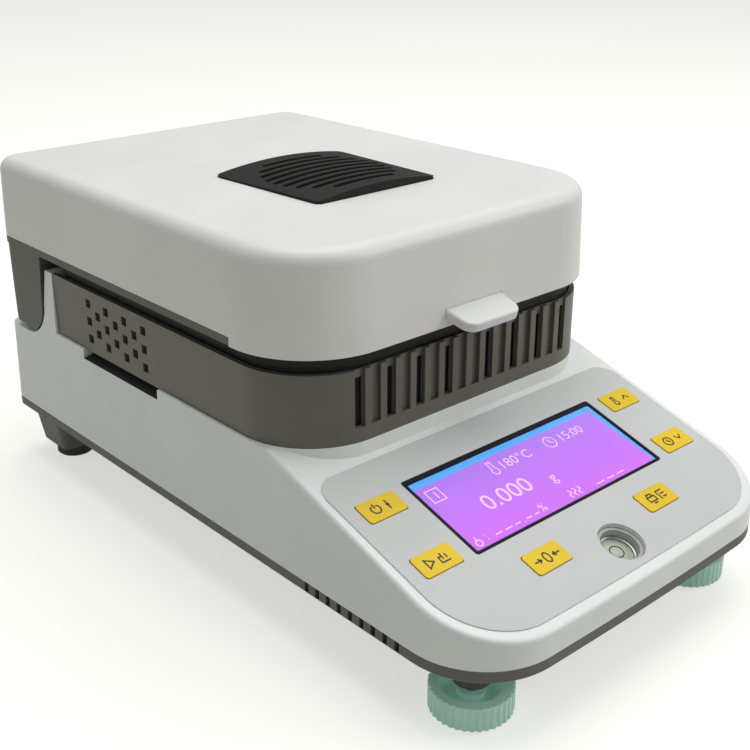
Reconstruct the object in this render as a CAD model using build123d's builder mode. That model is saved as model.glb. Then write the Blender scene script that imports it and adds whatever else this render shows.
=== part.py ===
from build123d import *
import math
import os

os.makedirs("parts", exist_ok=True)

# Halogen moisture analyser: a weighing base with a hinged heating lid.
# Frame: X to the right seen from the front, Y to the rear, Z up.
# The origin is on the table, under the middle of the object.

# Base
BASE_WIDTH = 205.0
BASE_LENGTH = 373.0
FRONT_BOW = 2.0
BASE_FRONT_RADIUS = 38.0
BASE_REAR_RADIUS = 10.0
BASE_DRAFT = 1.9
WALL = 2.5
FIT_GAP = 0.3
TRAY_BOTTOM_Z = 30.3
TRAY_BAND = 6.1
TRAY_PLATE = 2.5
SEAT_Z = 88.3
EDGE_FILLET = 2.2
COLUMN_SIDE_INSET = 10.5
COLUMN_END_INSET = 12.5
COLUMN_MIDDLE_Y = -20.0
COLUMN_FRONT_X = 45.0

# Sloping control panel
PANEL_TILT = 17.5
PANEL_Y = -137.0
PANEL_Z = 62.7

# Chamber ring and black inner rim
RING_INSET = 3.1
RING_FRONT_Y = -77.5
RING_REAR_Y = 128.3
RING_HEIGHT = 33.5
RING_RADIUS = 39.2
RING_WALL = 2.6
SLOT_PITCH = 8.8
SLOT_COUNT = 16
SLOT_WIDTH = 5.2
WINDOW_WIDTH = 4.4
SLOT_FOOT = 7.0
SLOT_HEAD = 3.6
GROOVE_DEPTH = 1.9
HOLE_SIZE = 4.5
HOLE_PITCH_Y = 8.6
HOLE_PITCH_Z = 9.5
HOLE_COLUMNS = 7
HOLE_REAR_Y = 91.9
HOLE_TOP_Z = 114.6
RIM_GAP = 0.7
RIM_WALL = 1.3
RIM_TOP_GAP = 1.0
NOTCH_REAR_Y = 99.4
NOTCH_LENGTH = 70.0
NOTCH_DEPTH = 5.2
NOTCH_REACH = 13.0
NOTCH_BACK = 2.6

# Hinge
HINGE_Y = 160.5
HINGE_Z = 102.2
TROUGH_RADIUS = 21.0
BARREL_RADIUS = 20.2
BARREL_FLAT_Z = 84.8
HORN_TOP_DEPTH = 7.2
BRACKET_X = 60.0
BRACKET_WIDTH = 16.0
BRACKET_RADIUS = 9.0
PIN_RADIUS = 3.0
PIN_LENGTH = 27.0
RUNNING_GAP = 0.05
SIDE_GAP = 0.5

# Lid
LID_INSET = 0.3
LID_OVERHANG = 2.3
LID_REAR_Y = 182.6
LID_BOTTOM_Z = 129.6
LID_HEIGHT = 45.9
LID_RELIEF = 4.1
LID_RELIEF_Y = -34.4
LID_FRONT_RADIUS = 42.6
LID_REAR_RADIUS = 14.0
LID_DRAFT = 1.9
LID_FILLET = 7.0
LINER_PLATE = 2.4
LINER_GAP = 0.2
LINER_BAND = 5.0
SKIRT_INSET = 1.0
SKIRT_RADIUS = 11.0
LID_SCREW_X = 84.0
LID_SCREW_FRONT_Y = -38.0
LID_SCREW_REAR_Y = 122.0
CHEEK_FRONT_Y = 136.6

# Lid handle
HANDLE_Z = 137.6
HANDLE_TILT = 15.0
HANDLE_ROOT_WIDTH = 36.4
HANDLE_TIP_WIDTH = 33.4
HANDLE_REACH = 15.0
HANDLE_TONGUE = 6.0
HANDLE_THICKNESS = 4.4
HANDLE_RADIUS = 6.0

# Lid grille
GRILLE_REAR_WIDTH = 80.8
GRILLE_FRONT_WIDTH = 74.6
GRILLE_FRONT_Y = -16.4
GRILLE_REAR_Y = 59.5
GRILLE_RISE = 4.2
GRILLE_WALL = 1.8
GRILLE_DEPTH = 7.0
LOUVRE_COUNT = 9
LOUVRE_PITCH = 6.9
LOUVRE_WIDTH = 3.5
LOUVRE_CIRCLE = 33.5

# Heater, centred over the pan
HEATER_Y = 21.5
HEATER_OPENING = 58.0
GLASS_RADIUS = 61.0
GLASS_THICKNESS = 3.0
REFLECTOR_RADIUS = 71.0
BOSS_CIRCLE = 67.5
REFLECTOR_BOSS = 3.4
REFLECTOR_THROAT = 52.0
REFLECTOR_HEIGHT = 24.0
SHEET = 0.8
LAMP_RING_RADIUS = 38.0
LAMP_TUBE_RADIUS = 5.0
LAMP_Z = 148.0
LAMP_LEG_X = 10.0
SOCKET_SIZE = 14.0
SOCKET_HEIGHT = 5.5
PROBE_RADIUS = 2.0
PROBE_TIP_Z = 140.0

# Weighing system
PAN_RADIUS = 46.0
PAN_HEIGHT = 6.5
PAN_BOTTOM_Z = 103.0
SUPPORT_THICKNESS = 1.6
SUPPORT_RING_RADIUS = 36.0
SUPPORT_RING_WIDTH = 4.0
ARM_WIDTH = 6.0
SPINDLE_RADIUS = 2.7
SPINDLE_BOTTOM_Z = 73.0
SOCKET_GAP = 0.3
SINK_TRAVEL = 0.5
SHIELD_RADIUS = 57.0
SHIELD_HEIGHT = 14.0
FLOOR_PLATE = 1.5
CELL_LENGTH = 78.0
CELL_WIDTH = 14.0
CELL_HEIGHT = 20.0
CELL_BOTTOM_Z = 48.0
CELL_END = 16.0
ADAPTER_RADIUS = 6.0

# Display and keys, in the plane of the panel
OVERLAY_THICKNESS = 0.5
OVERLAY_HALF_WIDTH = 97.0
OVERLAY_TOP = 58.6
OVERLAY_BOTTOM = -46.6
OVERLAY_TOP_RADIUS = 11.0
OVERLAY_BOTTOM_RADIUS = 34.0
DISPLAY_WIDTH = 125.0
DISPLAY_HEIGHT = 47.9
DISPLAY_CENTRE = 17.1
WINDOW_DEPTH = 1.2
LCD_DEPTH = 7.0
LCD_FLANGE = 6.0
KEY_WIDTH = 20.6
KEY_DEPTH = 11.5
KEY_RADIUS = 1.6
KEY_PROUD = 1.0
KEY_TRAVEL = 0.5
KEY_FLANGE = 1.4
KEY_OUTER_X = 79.5
KEY_INNER_X = 37.4
KEY_UPPER_ROW = 33.5
KEY_MIDDLE_ROW = -0.5
KEY_LOWER_ROW = -22.8
BOARD_DEPTH = 6.2
BOARD_SIDE_INSET = 12.5
BOARD_FRONT = -33.0
BOARD_REAR = 50.0
BOARD_FRONT_RADIUS = 22.0
BOARD_REAR_RADIUS = 4.0
BOARD_THICKNESS = 1.6
DOME_HEIGHT = 1.1
LEVEL_Y = -32.9
LEVEL_HOLE = 10.6
LEVEL_RADIUS = 10.2
LEVEL_SINK = 1.6
LEVEL_HEIGHT = 9.0

# Levelling feet at the front, fixed feet at the rear
FOOT_X = 75.3
FOOT_Y = -154.7
WHEEL_RADIUS = 17.8
WHEEL_HEIGHT = 10.8
WHEEL_BOTTOM_Z = 1.5
WHEEL_WELL_RADIUS = 13.4
WHEEL_WELL_DEPTH = 5.2
KNURL_COUNT = 36
KNURL_RADIUS = 1.0
STUD_RADIUS = 3.0
STUD_TOP_Z = 27.0
BOSS_RADIUS = 8.0
BOSS_BOTTOM_Z = 14.2
INSERT_RADIUS = 4.6
INSERT_LENGTH = 10.0
PAD_RADIUS = 12.5
PAD_HEIGHT = 1.2
REAR_FOOT_X = 80.0
REAR_FOOT_Y = 163.0
REAR_FOOT_LENGTH = 36.0
REAR_FOOT_WIDTH = 34.0
REAR_FOOT_BOTTOM_Z = 8.0
REAR_PAD_RADIUS = 10.5
REAR_PAD_RECESS = 2.0
REAR_FOOT_DRAFT = 10.0

# Rear connectors
PORT_RECESS = 3.0
INLET_X = 48.0
INLET_Z = 58.0
SERIAL_X = -48.0
SCREW_RADIUS = 1.5
SCREW_HEAD_RADIUS = 2.8
COLUMN_RADIUS = 4.0
SCREW_HEAD = 1.4
TONGUE_WALL = 1.6
TONGUE_GAP = 0.9
TONGUE_HEIGHT = 5.0
VENT_COUNT = 9
VENT_FIRST_Y = -83.2
VENT_PITCH = 7.0
VENT_WIDTH = 2.6
VENT_HEIGHT = 5.0
VENT_DEPTH = 7.0
PORT_WIDTH = 156.0
PORT_HEIGHT = 34.0
INLET_FLANGE_WIDTH = 50.0
INLET_FLANGE_HEIGHT = 25.0
INLET_BODY_WIDTH = 27.0
INLET_BODY_HEIGHT = 19.4
INLET_BODY_DEPTH = 20.0
INLET_CAVITY_WIDTH = 22.6
INLET_CAVITY_HEIGHT = 15.0
INLET_CAVITY_DEPTH = 15.0
BOARD_CLEARANCE = 11.0
MAIN_BOARD_X = -25.0
MAIN_BOARD_Y = 100.0
MAIN_BOARD_WIDTH = 92.0
MAIN_BOARD_LENGTH = 66.0
TRANSFORMER_X = 62.0
TRANSFORMER_Y = 100.0
HEAT_SINK_X = -72.0
HEAT_SINK_Y = 22.0

# Derived places
half_base = BASE_WIDTH / 2
base_front = -BASE_LENGTH / 2
base_rear = BASE_LENGTH / 2
split_z = TRAY_BOTTOM_Z + TRAY_BAND
tilt = math.radians(PANEL_TILT)
seat_front_y = PANEL_Y + (SEAT_Z - PANEL_Z) / math.tan(tilt)
ring_half = half_base - RING_INSET
ring_top = SEAT_Z + RING_HEIGHT
deck_z = HINGE_Z - TROUGH_RADIUS
lid_half = half_base - LID_INSET
lid_front = RING_FRONT_Y - LID_OVERHANG
lid_top = LID_BOTTOM_Z + LID_HEIGHT
cover_relief_z = LID_BOTTOM_Z + LID_RELIEF
liner_top_z = cover_relief_z - LINER_GAP
liner_plate_z = liner_top_z - LINER_PLATE
liner_band_z = LID_BOTTOM_Z + LINER_GAP
rim_half = ring_half - RING_WALL - RIM_GAP
rim_front = RING_FRONT_Y + RING_WALL + RIM_GAP
rim_rear = RING_REAR_Y - RIM_GAP
rim_radius = RING_RADIUS - RING_WALL - RIM_GAP
floor_top = SEAT_Z + FLOOR_PLATE
glass_bottom = liner_top_z
flange_z = glass_bottom + GLASS_THICKNESS
rim_top = liner_plate_z - RIM_TOP_GAP
port_wall_y = base_rear - PORT_RECESS
tray_floor = TRAY_BOTTOM_Z + TRAY_PLATE
handle_y = lid_front + (HANDLE_Z - LID_BOTTOM_Z) * math.tan(math.radians(LID_DRAFT))
handle_tilt = math.radians(HANDLE_TILT)
handle_plane = Plane(origin=(0, handle_y, HANDLE_Z), x_dir=(1, 0, 0),
                     z_dir=(0, -math.sin(handle_tilt), math.cos(handle_tilt)))
panel = Plane(origin=(0, PANEL_Y, PANEL_Z), x_dir=(1, 0, 0), z_dir=(0, -math.sin(tilt), math.cos(tilt)))
display_centre = (0, DISPLAY_CENTRE)
opening_width = DISPLAY_WIDTH - 6
opening_height = DISPLAY_HEIGHT - 6
key_places = {
    "key_power": (-KEY_OUTER_X, KEY_UPPER_ROW),
    "key_test": (-KEY_OUTER_X, KEY_MIDDLE_ROW),
    "key_tare": (-KEY_INNER_X, KEY_LOWER_ROW),
    "key_print": (KEY_INNER_X, KEY_LOWER_ROW),
    "key_time": (KEY_OUTER_X, KEY_MIDDLE_ROW),
    "key_heat": (KEY_OUTER_X, KEY_UPPER_ROW),
}
column_x = half_base - COLUMN_SIDE_INSET
column_places = [(s * x, y) for s in (-1, 1) for x, y in (
    (column_x, COLUMN_MIDDLE_Y), (column_x, base_rear - COLUMN_END_INSET),
    (COLUMN_FRONT_X, base_front + COLUMN_END_INSET))]


lid_screw_places = [(s * LID_SCREW_X, y) for s in (-1, 1) for y in (LID_SCREW_FRONT_Y, LID_SCREW_REAR_Y)]
side_places = {"left": -1, "right": 1}


def outline(half_width, front, rear, front_radius, rear_radius=0.0, bow=0.0):
    """A plan outline with rounded corners and a slightly bowed front edge."""
    with BuildSketch() as plan:
        with BuildLine():
            Polyline((half_width, front), (half_width, rear), (-half_width, rear), (-half_width, front))
            if bow:
                ThreePointArc((-half_width, front), (0, front - bow), (half_width, front))
            else:
                Line((-half_width, front), (half_width, front))
        make_face()
        fillet(plan.vertices().group_by(Axis.Y)[0], front_radius)
        if rear_radius:
            fillet(plan.vertices().group_by(Axis.Y)[-1], rear_radius)
    return plan.sketch


def base_outline(inset):
    """The base seen from above, moved inwards by inset."""
    return outline(half_base - inset, base_front + FRONT_BOW + inset, base_rear - inset,
                   BASE_FRONT_RADIUS - inset, BASE_REAR_RADIUS - inset, FRONT_BOW)


def base_profile(drop):
    """The top of the base seen from the side, lowered by one wall for the inside."""
    slope_drop = drop / math.cos(tilt)
    far = base_rear + 20
    near_z = PANEL_Z - slope_drop + (base_front - 20 - PANEL_Y) * math.tan(tilt)
    top_z = SEAT_Z - drop
    corner_y = PANEL_Y + (top_z - PANEL_Z + slope_drop) / math.tan(tilt)
    radius = TROUGH_RADIUS + drop
    with BuildSketch() as side:
        with BuildLine():
            Polyline((HINGE_Y, HINGE_Z - radius), (far, HINGE_Z - radius), (far, split_z - 20),
                     (base_front - 20, split_z - 20), (base_front - 20, near_z), (corner_y, top_z),
                     (RING_REAR_Y + drop, top_z), (RING_REAR_Y + drop, ring_top - drop),
                     (RING_REAR_Y + HORN_TOP_DEPTH - drop, ring_top - drop), (HINGE_Y - radius, HINGE_Z))
            RadiusArc((HINGE_Y - radius, HINGE_Z), (HINGE_Y, HINGE_Z - radius), -radius)
        make_face()
    return side.sketch


def ring_outline(inset, rear):
    """The chamber ring's plan, moved inwards by inset at the front and sides."""
    return outline(ring_half - inset, RING_FRONT_Y + inset, rear, RING_RADIUS - inset)


def rim_outline(inset):
    """The black inner rim's plan, moved inwards by inset."""
    return outline(rim_half - inset, rim_front + inset, rim_rear - inset, rim_radius - inset,
                   BASE_REAR_RADIUS)


def lid_outline(inset):
    """The lid's plan at its lower edge, moved inwards by inset."""
    return outline(lid_half - inset, lid_front + inset, LID_REAR_Y - inset,
                   LID_FRONT_RADIUS - inset, LID_REAR_RADIUS - inset)


def skirt_profile(inset):
    """The rear of the lid from the side: two cheeks that end in a barrel round the hinge."""
    radius = BARREL_RADIUS - inset
    flat_z = BARREL_FLAT_Z + inset
    flat_half = math.sqrt(radius ** 2 - (HINGE_Z - flat_z) ** 2)
    top_z = liner_plate_z + (LINER_PLATE / 2 if inset == 0 else 10)
    with BuildSketch() as side:
        with BuildLine():
            Polyline((HINGE_Y + radius, HINGE_Z), (HINGE_Y + radius, top_z), (CHEEK_FRONT_Y + inset, top_z),
                     (HINGE_Y - radius, HINGE_Z))
            RadiusArc((HINGE_Y - radius, HINGE_Z), (HINGE_Y - flat_half, flat_z), -radius)
            Line((HINGE_Y - flat_half, flat_z), (HINGE_Y + flat_half, flat_z))
            RadiusArc((HINGE_Y + flat_half, flat_z), (HINGE_Y + radius, HINGE_Z), -radius)
        make_face()
    return side.sketch


def grille_outline(inset):
    """The grille from above: a little wider at the rear than at the front."""
    front = GRILLE_FRONT_WIDTH / 2 - inset
    rear = GRILLE_REAR_WIDTH / 2 - inset
    with BuildSketch() as plan:
        with BuildLine():
            Polyline((-front, GRILLE_FRONT_Y + inset), (front, GRILLE_FRONT_Y + inset),
                     (rear, GRILLE_REAR_Y - inset), (-rear, GRILLE_REAR_Y - inset), close=True)
        make_face()
        fillet(plan.vertices(), 3.0 - inset)
    return plan.sketch


def grille_arch(drop):
    """The arched section of the grille, over its skirts."""
    half = GRILLE_REAR_WIDTH / 2 + 5
    bottom = lid_top - GRILLE_DEPTH
    with BuildSketch() as section:
        with BuildLine():
            ThreePointArc((-half, lid_top - drop), (0, lid_top + GRILLE_RISE - drop), (half, lid_top - drop))
            Polyline((half, lid_top - drop), (half, bottom - drop), (-half, bottom - drop),
                     (-half, lid_top - drop))
        make_face()
    return section.sketch


def handle_outline(grow):
    """The lid handle with its tongue, in the handle's own plane."""
    root = HANDLE_ROOT_WIDTH / 2 + grow
    tip = HANDLE_TIP_WIDTH / 2 + grow
    with BuildSketch() as plan:
        with BuildLine():
            Polyline((-root, HANDLE_TONGUE), (-root, 0), (-tip, -HANDLE_REACH), (tip, -HANDLE_REACH),
                     (root, 0), (root, HANDLE_TONGUE), close=True)
        make_face()
        fillet(plan.vertices().group_by(Axis.Y)[0], HANDLE_RADIUS)
    return plan.sketch


def write(builder, name):
    """Label a finished piece and write it as one STEP file."""
    builder.part.label = name
    export_step(builder.part, "parts/" + name + ".step")


# Inside of the base, one wall within its outside
with BuildPart() as base_hollow:
    with BuildSketch(Plane.XY.offset(split_z - 10)):
        add(base_outline(WALL))
    extrude(amount=ring_top, taper=BASE_DRAFT)
    with BuildSketch(Plane.YZ):
        add(base_profile(WALL))
    extrude(amount=half_base + 10, both=True, mode=Mode.INTERSECT)

# Screw columns that reach from the tray up to the ceiling of the base
with BuildPart() as base_columns:
    with BuildSketch(Plane.XY.offset(tray_floor + LINER_GAP)):
        with Locations(*column_places):
            Circle(COLUMN_RADIUS)
    extrude(amount=ring_top)
    add(base_hollow.part, mode=Mode.INTERSECT)

# White upper housing: draughted sides meet a sloping panel at the front, a raised
# seat for the chamber ring, and the hinge trough behind its bulkhead.
with BuildPart() as base_housing:
    with BuildSketch(Plane.XY.offset(split_z)):
        add(base_outline(0))
    extrude(amount=ring_top, taper=BASE_DRAFT)
    with BuildSketch(Plane.YZ):
        add(base_profile(0))
    extrude(amount=half_base + 10, both=True, mode=Mode.INTERSECT)
    panel_face = base_housing.faces().filter_by(
        lambda f: f.geom_type == GeomType.PLANE and f.normal_at().dot(panel.z_dir) > 0.999)[-1]
    fillet([e for e in panel_face.edges() if e.center().Y < seat_front_y - 1], EDGE_FILLET)
    with BuildSketch(Plane.XY.offset(SEAT_Z)):
        add(ring_outline(0, RING_REAR_Y))
    extrude(amount=-WALL * 6)
    add(base_hollow.part, mode=Mode.SUBTRACT)
    # the riser under the front of the ring stays closed
    with BuildSketch(Plane.XY.offset(SEAT_Z)):
        add(ring_outline(0, RING_REAR_Y))
        add(ring_outline(WALL, RING_REAR_Y + WALL), mode=Mode.SUBTRACT)
        with Locations((0, RING_FRONT_Y)):
            Rectangle(BASE_WIDTH, 2 * (seat_front_y - RING_FRONT_Y + WALL * 2), mode=Mode.INTERSECT)
    extrude(amount=-WALL * 4)
    add(base_columns.part)
    # opening of the weighing chamber in the seat
    with BuildSketch(Plane.XY.offset(SEAT_Z + 1)):
        add(rim_outline(8))
    extrude(amount=-WALL * 4, mode=Mode.SUBTRACT)
    # air inlet scoops below the perforated sides of the ring
    for side in (-1, 1):
        with BuildSketch(Plane.XZ.offset(-NOTCH_REAR_Y - WALL)):
            with Locations((side * (half_base - NOTCH_REACH + 1), SEAT_Z - NOTCH_DEPTH)):
                Rectangle(NOTCH_REACH + 3, NOTCH_DEPTH * 2 - 1)
        extrude(amount=NOTCH_LENGTH + WALL * 2)
    for side in (-1, 1):
        with BuildSketch(Plane.XZ.offset(-NOTCH_REAR_Y)):
            with BuildLine():
                Polyline((side * (half_base + 2), SEAT_Z - NOTCH_DEPTH),
                         (side * (half_base - 2), SEAT_Z - NOTCH_DEPTH),
                         (side * (half_base - NOTCH_REACH), SEAT_Z - NOTCH_BACK),
                         (side * (half_base - NOTCH_REACH), SEAT_Z + 2),
                         (side * (half_base + 2), SEAT_Z + 2), close=True)
            make_face()
        extrude(amount=NOTCH_LENGTH, mode=Mode.SUBTRACT)
    # flat recess for the connectors, with its wall kept one wall thick
    with BuildSketch(Plane.XZ.offset(-base_rear + WALL)):
        with Locations((0, INLET_Z)):
            Rectangle(PORT_WIDTH + 2 * WALL, PORT_HEIGHT + 2 * WALL)
    extrude(amount=PORT_RECESS)
    with BuildSketch(Plane.XZ.offset(-base_rear - 1)):
        with Locations((0, INLET_Z)):
            RectangleRounded(PORT_WIDTH, PORT_HEIGHT, 3)
    extrude(amount=PORT_RECESS + 1, mode=Mode.SUBTRACT)
    with BuildSketch(Plane.XZ.offset(-port_wall_y - 1)):
        with Locations((INLET_X, INLET_Z)):
            Rectangle(INLET_BODY_WIDTH + FIT_GAP, INLET_BODY_HEIGHT + FIT_GAP)
        with Locations((SERIAL_X, INLET_Z)):
            RectangleRounded(18.6, 9.6, 2)
    extrude(amount=WALL + 4, mode=Mode.SUBTRACT)
    # panel cut-outs for the display, the keys and the bubble level
    with BuildSketch(panel.offset(1)):
        with Locations(display_centre):
            Rectangle(opening_width, opening_height)
        with Locations(*key_places.values()):
            RectangleRounded(KEY_WIDTH + 2 * FIT_GAP, KEY_DEPTH + 2 * FIT_GAP, KEY_RADIUS)
        with Locations((0, LEVEL_Y)):
            Circle(LEVEL_HOLE)
    extrude(amount=-WALL - 2, mode=Mode.SUBTRACT)
    with BuildSketch(panel):
        with Locations(display_centre):
            RectangleRounded(DISPLAY_WIDTH + FIT_GAP, DISPLAY_HEIGHT + FIT_GAP, KEY_RADIUS)
    extrude(amount=OVERLAY_THICKNESS - WINDOW_DEPTH, mode=Mode.SUBTRACT)
    # posts under the panel that carry the key board
    with BuildSketch(panel.offset(-WALL + 0.1)):
        with Locations((-58.5, -20), (58.5, -20), (-72, 46), (72, 46)):
            Circle(2.2)
    extrude(amount=-(BOARD_DEPTH - WALL) - 0.1)
write(base_housing, "base_housing")

# Dark tray that closes the base from below
with BuildPart() as base_tray:
    with BuildSketch(Plane.XY.offset(TRAY_BOTTOM_Z)):
        add(base_outline(0))
    extrude(amount=TRAY_BAND)
    chamfer(base_tray.edges().group_by(Axis.Z)[0], 1.2)
    with BuildSketch(Plane.XY.offset(tray_floor)):
        add(base_outline(WALL))
    extrude(amount=TRAY_BAND, mode=Mode.SUBTRACT)
    with BuildSketch(Plane.XY.offset(tray_floor)):
        add(base_outline(WALL + TONGUE_GAP))
        add(base_outline(WALL + TONGUE_GAP + TONGUE_WALL), mode=Mode.SUBTRACT)
        with Locations((0, base_rear)):
            Rectangle(PORT_WIDTH + WALL * 4, WALL * 8, mode=Mode.SUBTRACT)
    extrude(amount=TRAY_BAND - TRAY_PLATE + TONGUE_HEIGHT)
    # moulded rear feet
    with BuildSketch(Plane.XY.offset(TRAY_BOTTOM_Z + 0.5)):
        with Locations((-REAR_FOOT_X, REAR_FOOT_Y), (REAR_FOOT_X, REAR_FOOT_Y)):
            RectangleRounded(REAR_FOOT_WIDTH, REAR_FOOT_LENGTH, 8)
    extrude(amount=-(TRAY_BOTTOM_Z + 0.5 - REAR_FOOT_BOTTOM_Z), taper=REAR_FOOT_DRAFT)
    with BuildSketch(Plane.XY.offset(REAR_FOOT_BOTTOM_Z - 1)):
        with Locations((-REAR_FOOT_X, REAR_FOOT_Y), (REAR_FOOT_X, REAR_FOOT_Y)):
            Circle(REAR_PAD_RADIUS + LINER_GAP)
    extrude(amount=REAR_PAD_RECESS + 1, mode=Mode.SUBTRACT)
    # bosses for the levelling feet
    with BuildSketch(Plane.XY.offset(BOSS_BOTTOM_Z)):
        with Locations((-FOOT_X, FOOT_Y), (FOOT_X, FOOT_Y)):
            Circle(BOSS_RADIUS)
    extrude(amount=TRAY_BOTTOM_Z - BOSS_BOTTOM_Z + 0.5)
    with BuildSketch(Plane.XY.offset(BOSS_BOTTOM_Z - 1)):
        with Locations((-FOOT_X, FOOT_Y), (FOOT_X, FOOT_Y)):
            Circle(INSERT_RADIUS + RUNNING_GAP)
    extrude(amount=TRAY_BOTTOM_Z - BOSS_BOTTOM_Z + 5, mode=Mode.SUBTRACT)
    # vent slots in both side walls
    for side in (-1, 1):
        with BuildSketch(Plane.YZ.offset(side * (half_base - VENT_DEPTH))):
            with Locations(*[(VENT_FIRST_Y - k * VENT_PITCH, split_z - VENT_HEIGHT / 2)
                             for k in range(VENT_COUNT)]):
                Rectangle(VENT_WIDTH, VENT_HEIGHT)
        extrude(amount=side * VENT_DEPTH * 2, mode=Mode.SUBTRACT)
    # floor vents, and screw holes with sunk heads
    with BuildSketch(Plane.XY.offset(TRAY_BOTTOM_Z - 1)):
        with Locations((0, -95)):
            with GridLocations(0, 8, 1, 6):
                SlotOverall(60, 3)
        with Locations(*column_places):
            Circle(SCREW_RADIUS + 0.1)
    extrude(amount=TRAY_PLATE + 2, mode=Mode.SUBTRACT)
    with BuildSketch(Plane.XY.offset(TRAY_BOTTOM_Z - 1)):
        with Locations(*column_places):
            Circle(SCREW_HEAD_RADIUS + LINER_GAP)
    extrude(amount=SCREW_HEAD + 1.2, mode=Mode.SUBTRACT)
    # spacers for the main board
    with BuildSketch(Plane.XY.offset(tray_floor)):
        with Locations((MAIN_BOARD_X, MAIN_BOARD_Y)):
            with GridLocations(MAIN_BOARD_WIDTH - 8, MAIN_BOARD_LENGTH - 8, 2, 2):
                Circle(3)
    extrude(amount=BOARD_CLEARANCE)
write(base_tray, "base_tray")

# Grey chamber ring: blind grooves and through slots alternate along its front,
# and a chequered field of square holes ventilates each side.
with BuildPart() as chamber_ring:
    with BuildSketch(Plane.XY.offset(SEAT_Z)):
        add(ring_outline(0, RING_REAR_Y - LINER_GAP))
        add(ring_outline(RING_WALL, RING_REAR_Y + WALL), mode=Mode.SUBTRACT)
    extrude(amount=RING_HEIGHT)
    slot_x = [(k - (SLOT_COUNT - 1) / 2) * SLOT_PITCH for k in range(SLOT_COUNT)]
    with BuildSketch(Plane.XY.offset(SEAT_Z + SLOT_FOOT)):
        with Locations(*[(x, RING_FRONT_Y) for x in slot_x]):
            Rectangle(SLOT_WIDTH, GROOVE_DEPTH * 2)
    extrude(amount=RING_HEIGHT, mode=Mode.SUBTRACT)
    half_count = SLOT_COUNT // 2
    open_x = [x for k, x in enumerate(slot_x) if (k if k < half_count else k + 1) % 2 == 0]
    with BuildSketch(Plane.XY.offset(SEAT_Z + SLOT_FOOT)):
        with Locations(*[(x, RING_FRONT_Y) for x in open_x]):
            Rectangle(WINDOW_WIDTH, RING_WALL * 4)
    extrude(amount=RING_HEIGHT - SLOT_FOOT - SLOT_HEAD, mode=Mode.SUBTRACT)
    hole_places = []
    for column in range(HOLE_COLUMNS):
        rows = 3 if column % 2 == 0 else 2
        first_z = HOLE_TOP_Z - (3 - rows) * HOLE_PITCH_Z / 2
        hole_places += [(HOLE_REAR_Y - column * HOLE_PITCH_Y, first_z - row * HOLE_PITCH_Z)
                        for row in range(rows)]
    with BuildSketch(Plane.YZ):
        with Locations(*hole_places):
            Rectangle(HOLE_SIZE, HOLE_SIZE)
    extrude(amount=half_base, both=True, mode=Mode.SUBTRACT)
write(chamber_ring, "chamber_ring")

# Black inner rim that stands inside the ring and meets the closed lid
with BuildPart() as inner_rim:
    with BuildSketch(Plane.XY.offset(SEAT_Z)):
        add(rim_outline(0))
        add(rim_outline(RIM_WALL), mode=Mode.SUBTRACT)
    extrude(amount=rim_top - SEAT_Z)
write(inner_rim, "inner_rim")

# Floor of the weighing chamber, with a hole for the spindle
with BuildPart() as chamber_floor:
    with BuildSketch(Plane.XY.offset(SEAT_Z)):
        add(rim_outline(RIM_WALL + LINER_GAP))
        with Locations((0, HEATER_Y)):
            Circle(SPINDLE_RADIUS * 3, mode=Mode.SUBTRACT)
    extrude(amount=FLOOR_PLATE)
write(chamber_floor, "chamber_floor")

with BuildPart() as draft_shield:
    with BuildSketch(Plane.XY.offset(floor_top)):
        with Locations((0, HEATER_Y)):
            Circle(SHIELD_RADIUS)
            Circle(SHIELD_RADIUS - 1.2, mode=Mode.SUBTRACT)
    extrude(amount=SHIELD_HEIGHT)
write(draft_shield, "draft_shield")

# Aluminium sample pan: a shallow dish with a rolled lip
with BuildPart() as sample_pan:
    with BuildSketch(Plane.XZ.offset(-HEATER_Y)):
        with BuildLine():
            Polyline((0, PAN_BOTTOM_Z), (PAN_RADIUS - 4, PAN_BOTTOM_Z),
                     (PAN_RADIUS - 1.2, PAN_BOTTOM_Z + PAN_HEIGHT - 0.6),
                     (PAN_RADIUS, PAN_BOTTOM_Z + PAN_HEIGHT - 0.6), (PAN_RADIUS, PAN_BOTTOM_Z + PAN_HEIGHT),
                     (PAN_RADIUS - 1.7, PAN_BOTTOM_Z + PAN_HEIGHT), (PAN_RADIUS - 4.4, PAN_BOTTOM_Z + 0.6),
                     (0, PAN_BOTTOM_Z + 0.6), close=True)
        make_face()
    revolve(axis=Axis((0, HEATER_Y, 0), (0, 0, 1)))
write(sample_pan, "sample_pan")

# Three-armed pan support on its spindle
support_top = PAN_BOTTOM_Z - LINER_GAP
with BuildPart() as pan_support:
    with BuildSketch(Plane.XY.offset(support_top - SUPPORT_THICKNESS)):
        with Locations((0, HEATER_Y)):
            Circle(SUPPORT_RING_RADIUS)
            Circle(SUPPORT_RING_RADIUS - SUPPORT_RING_WIDTH, mode=Mode.SUBTRACT)
            Circle(SPINDLE_RADIUS * 2.4)
            with PolarLocations(SUPPORT_RING_RADIUS / 2, 3, 90):
                Rectangle(SUPPORT_RING_RADIUS - SUPPORT_RING_WIDTH, ARM_WIDTH)
    extrude(amount=SUPPORT_THICKNESS)
    with BuildSketch(Plane.XY.offset(SPINDLE_BOTTOM_Z)):
        with Locations((0, HEATER_Y)):
            Circle(SPINDLE_RADIUS)
    extrude(amount=support_top - SPINDLE_BOTTOM_Z)
write(pan_support, "pan_support")

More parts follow.
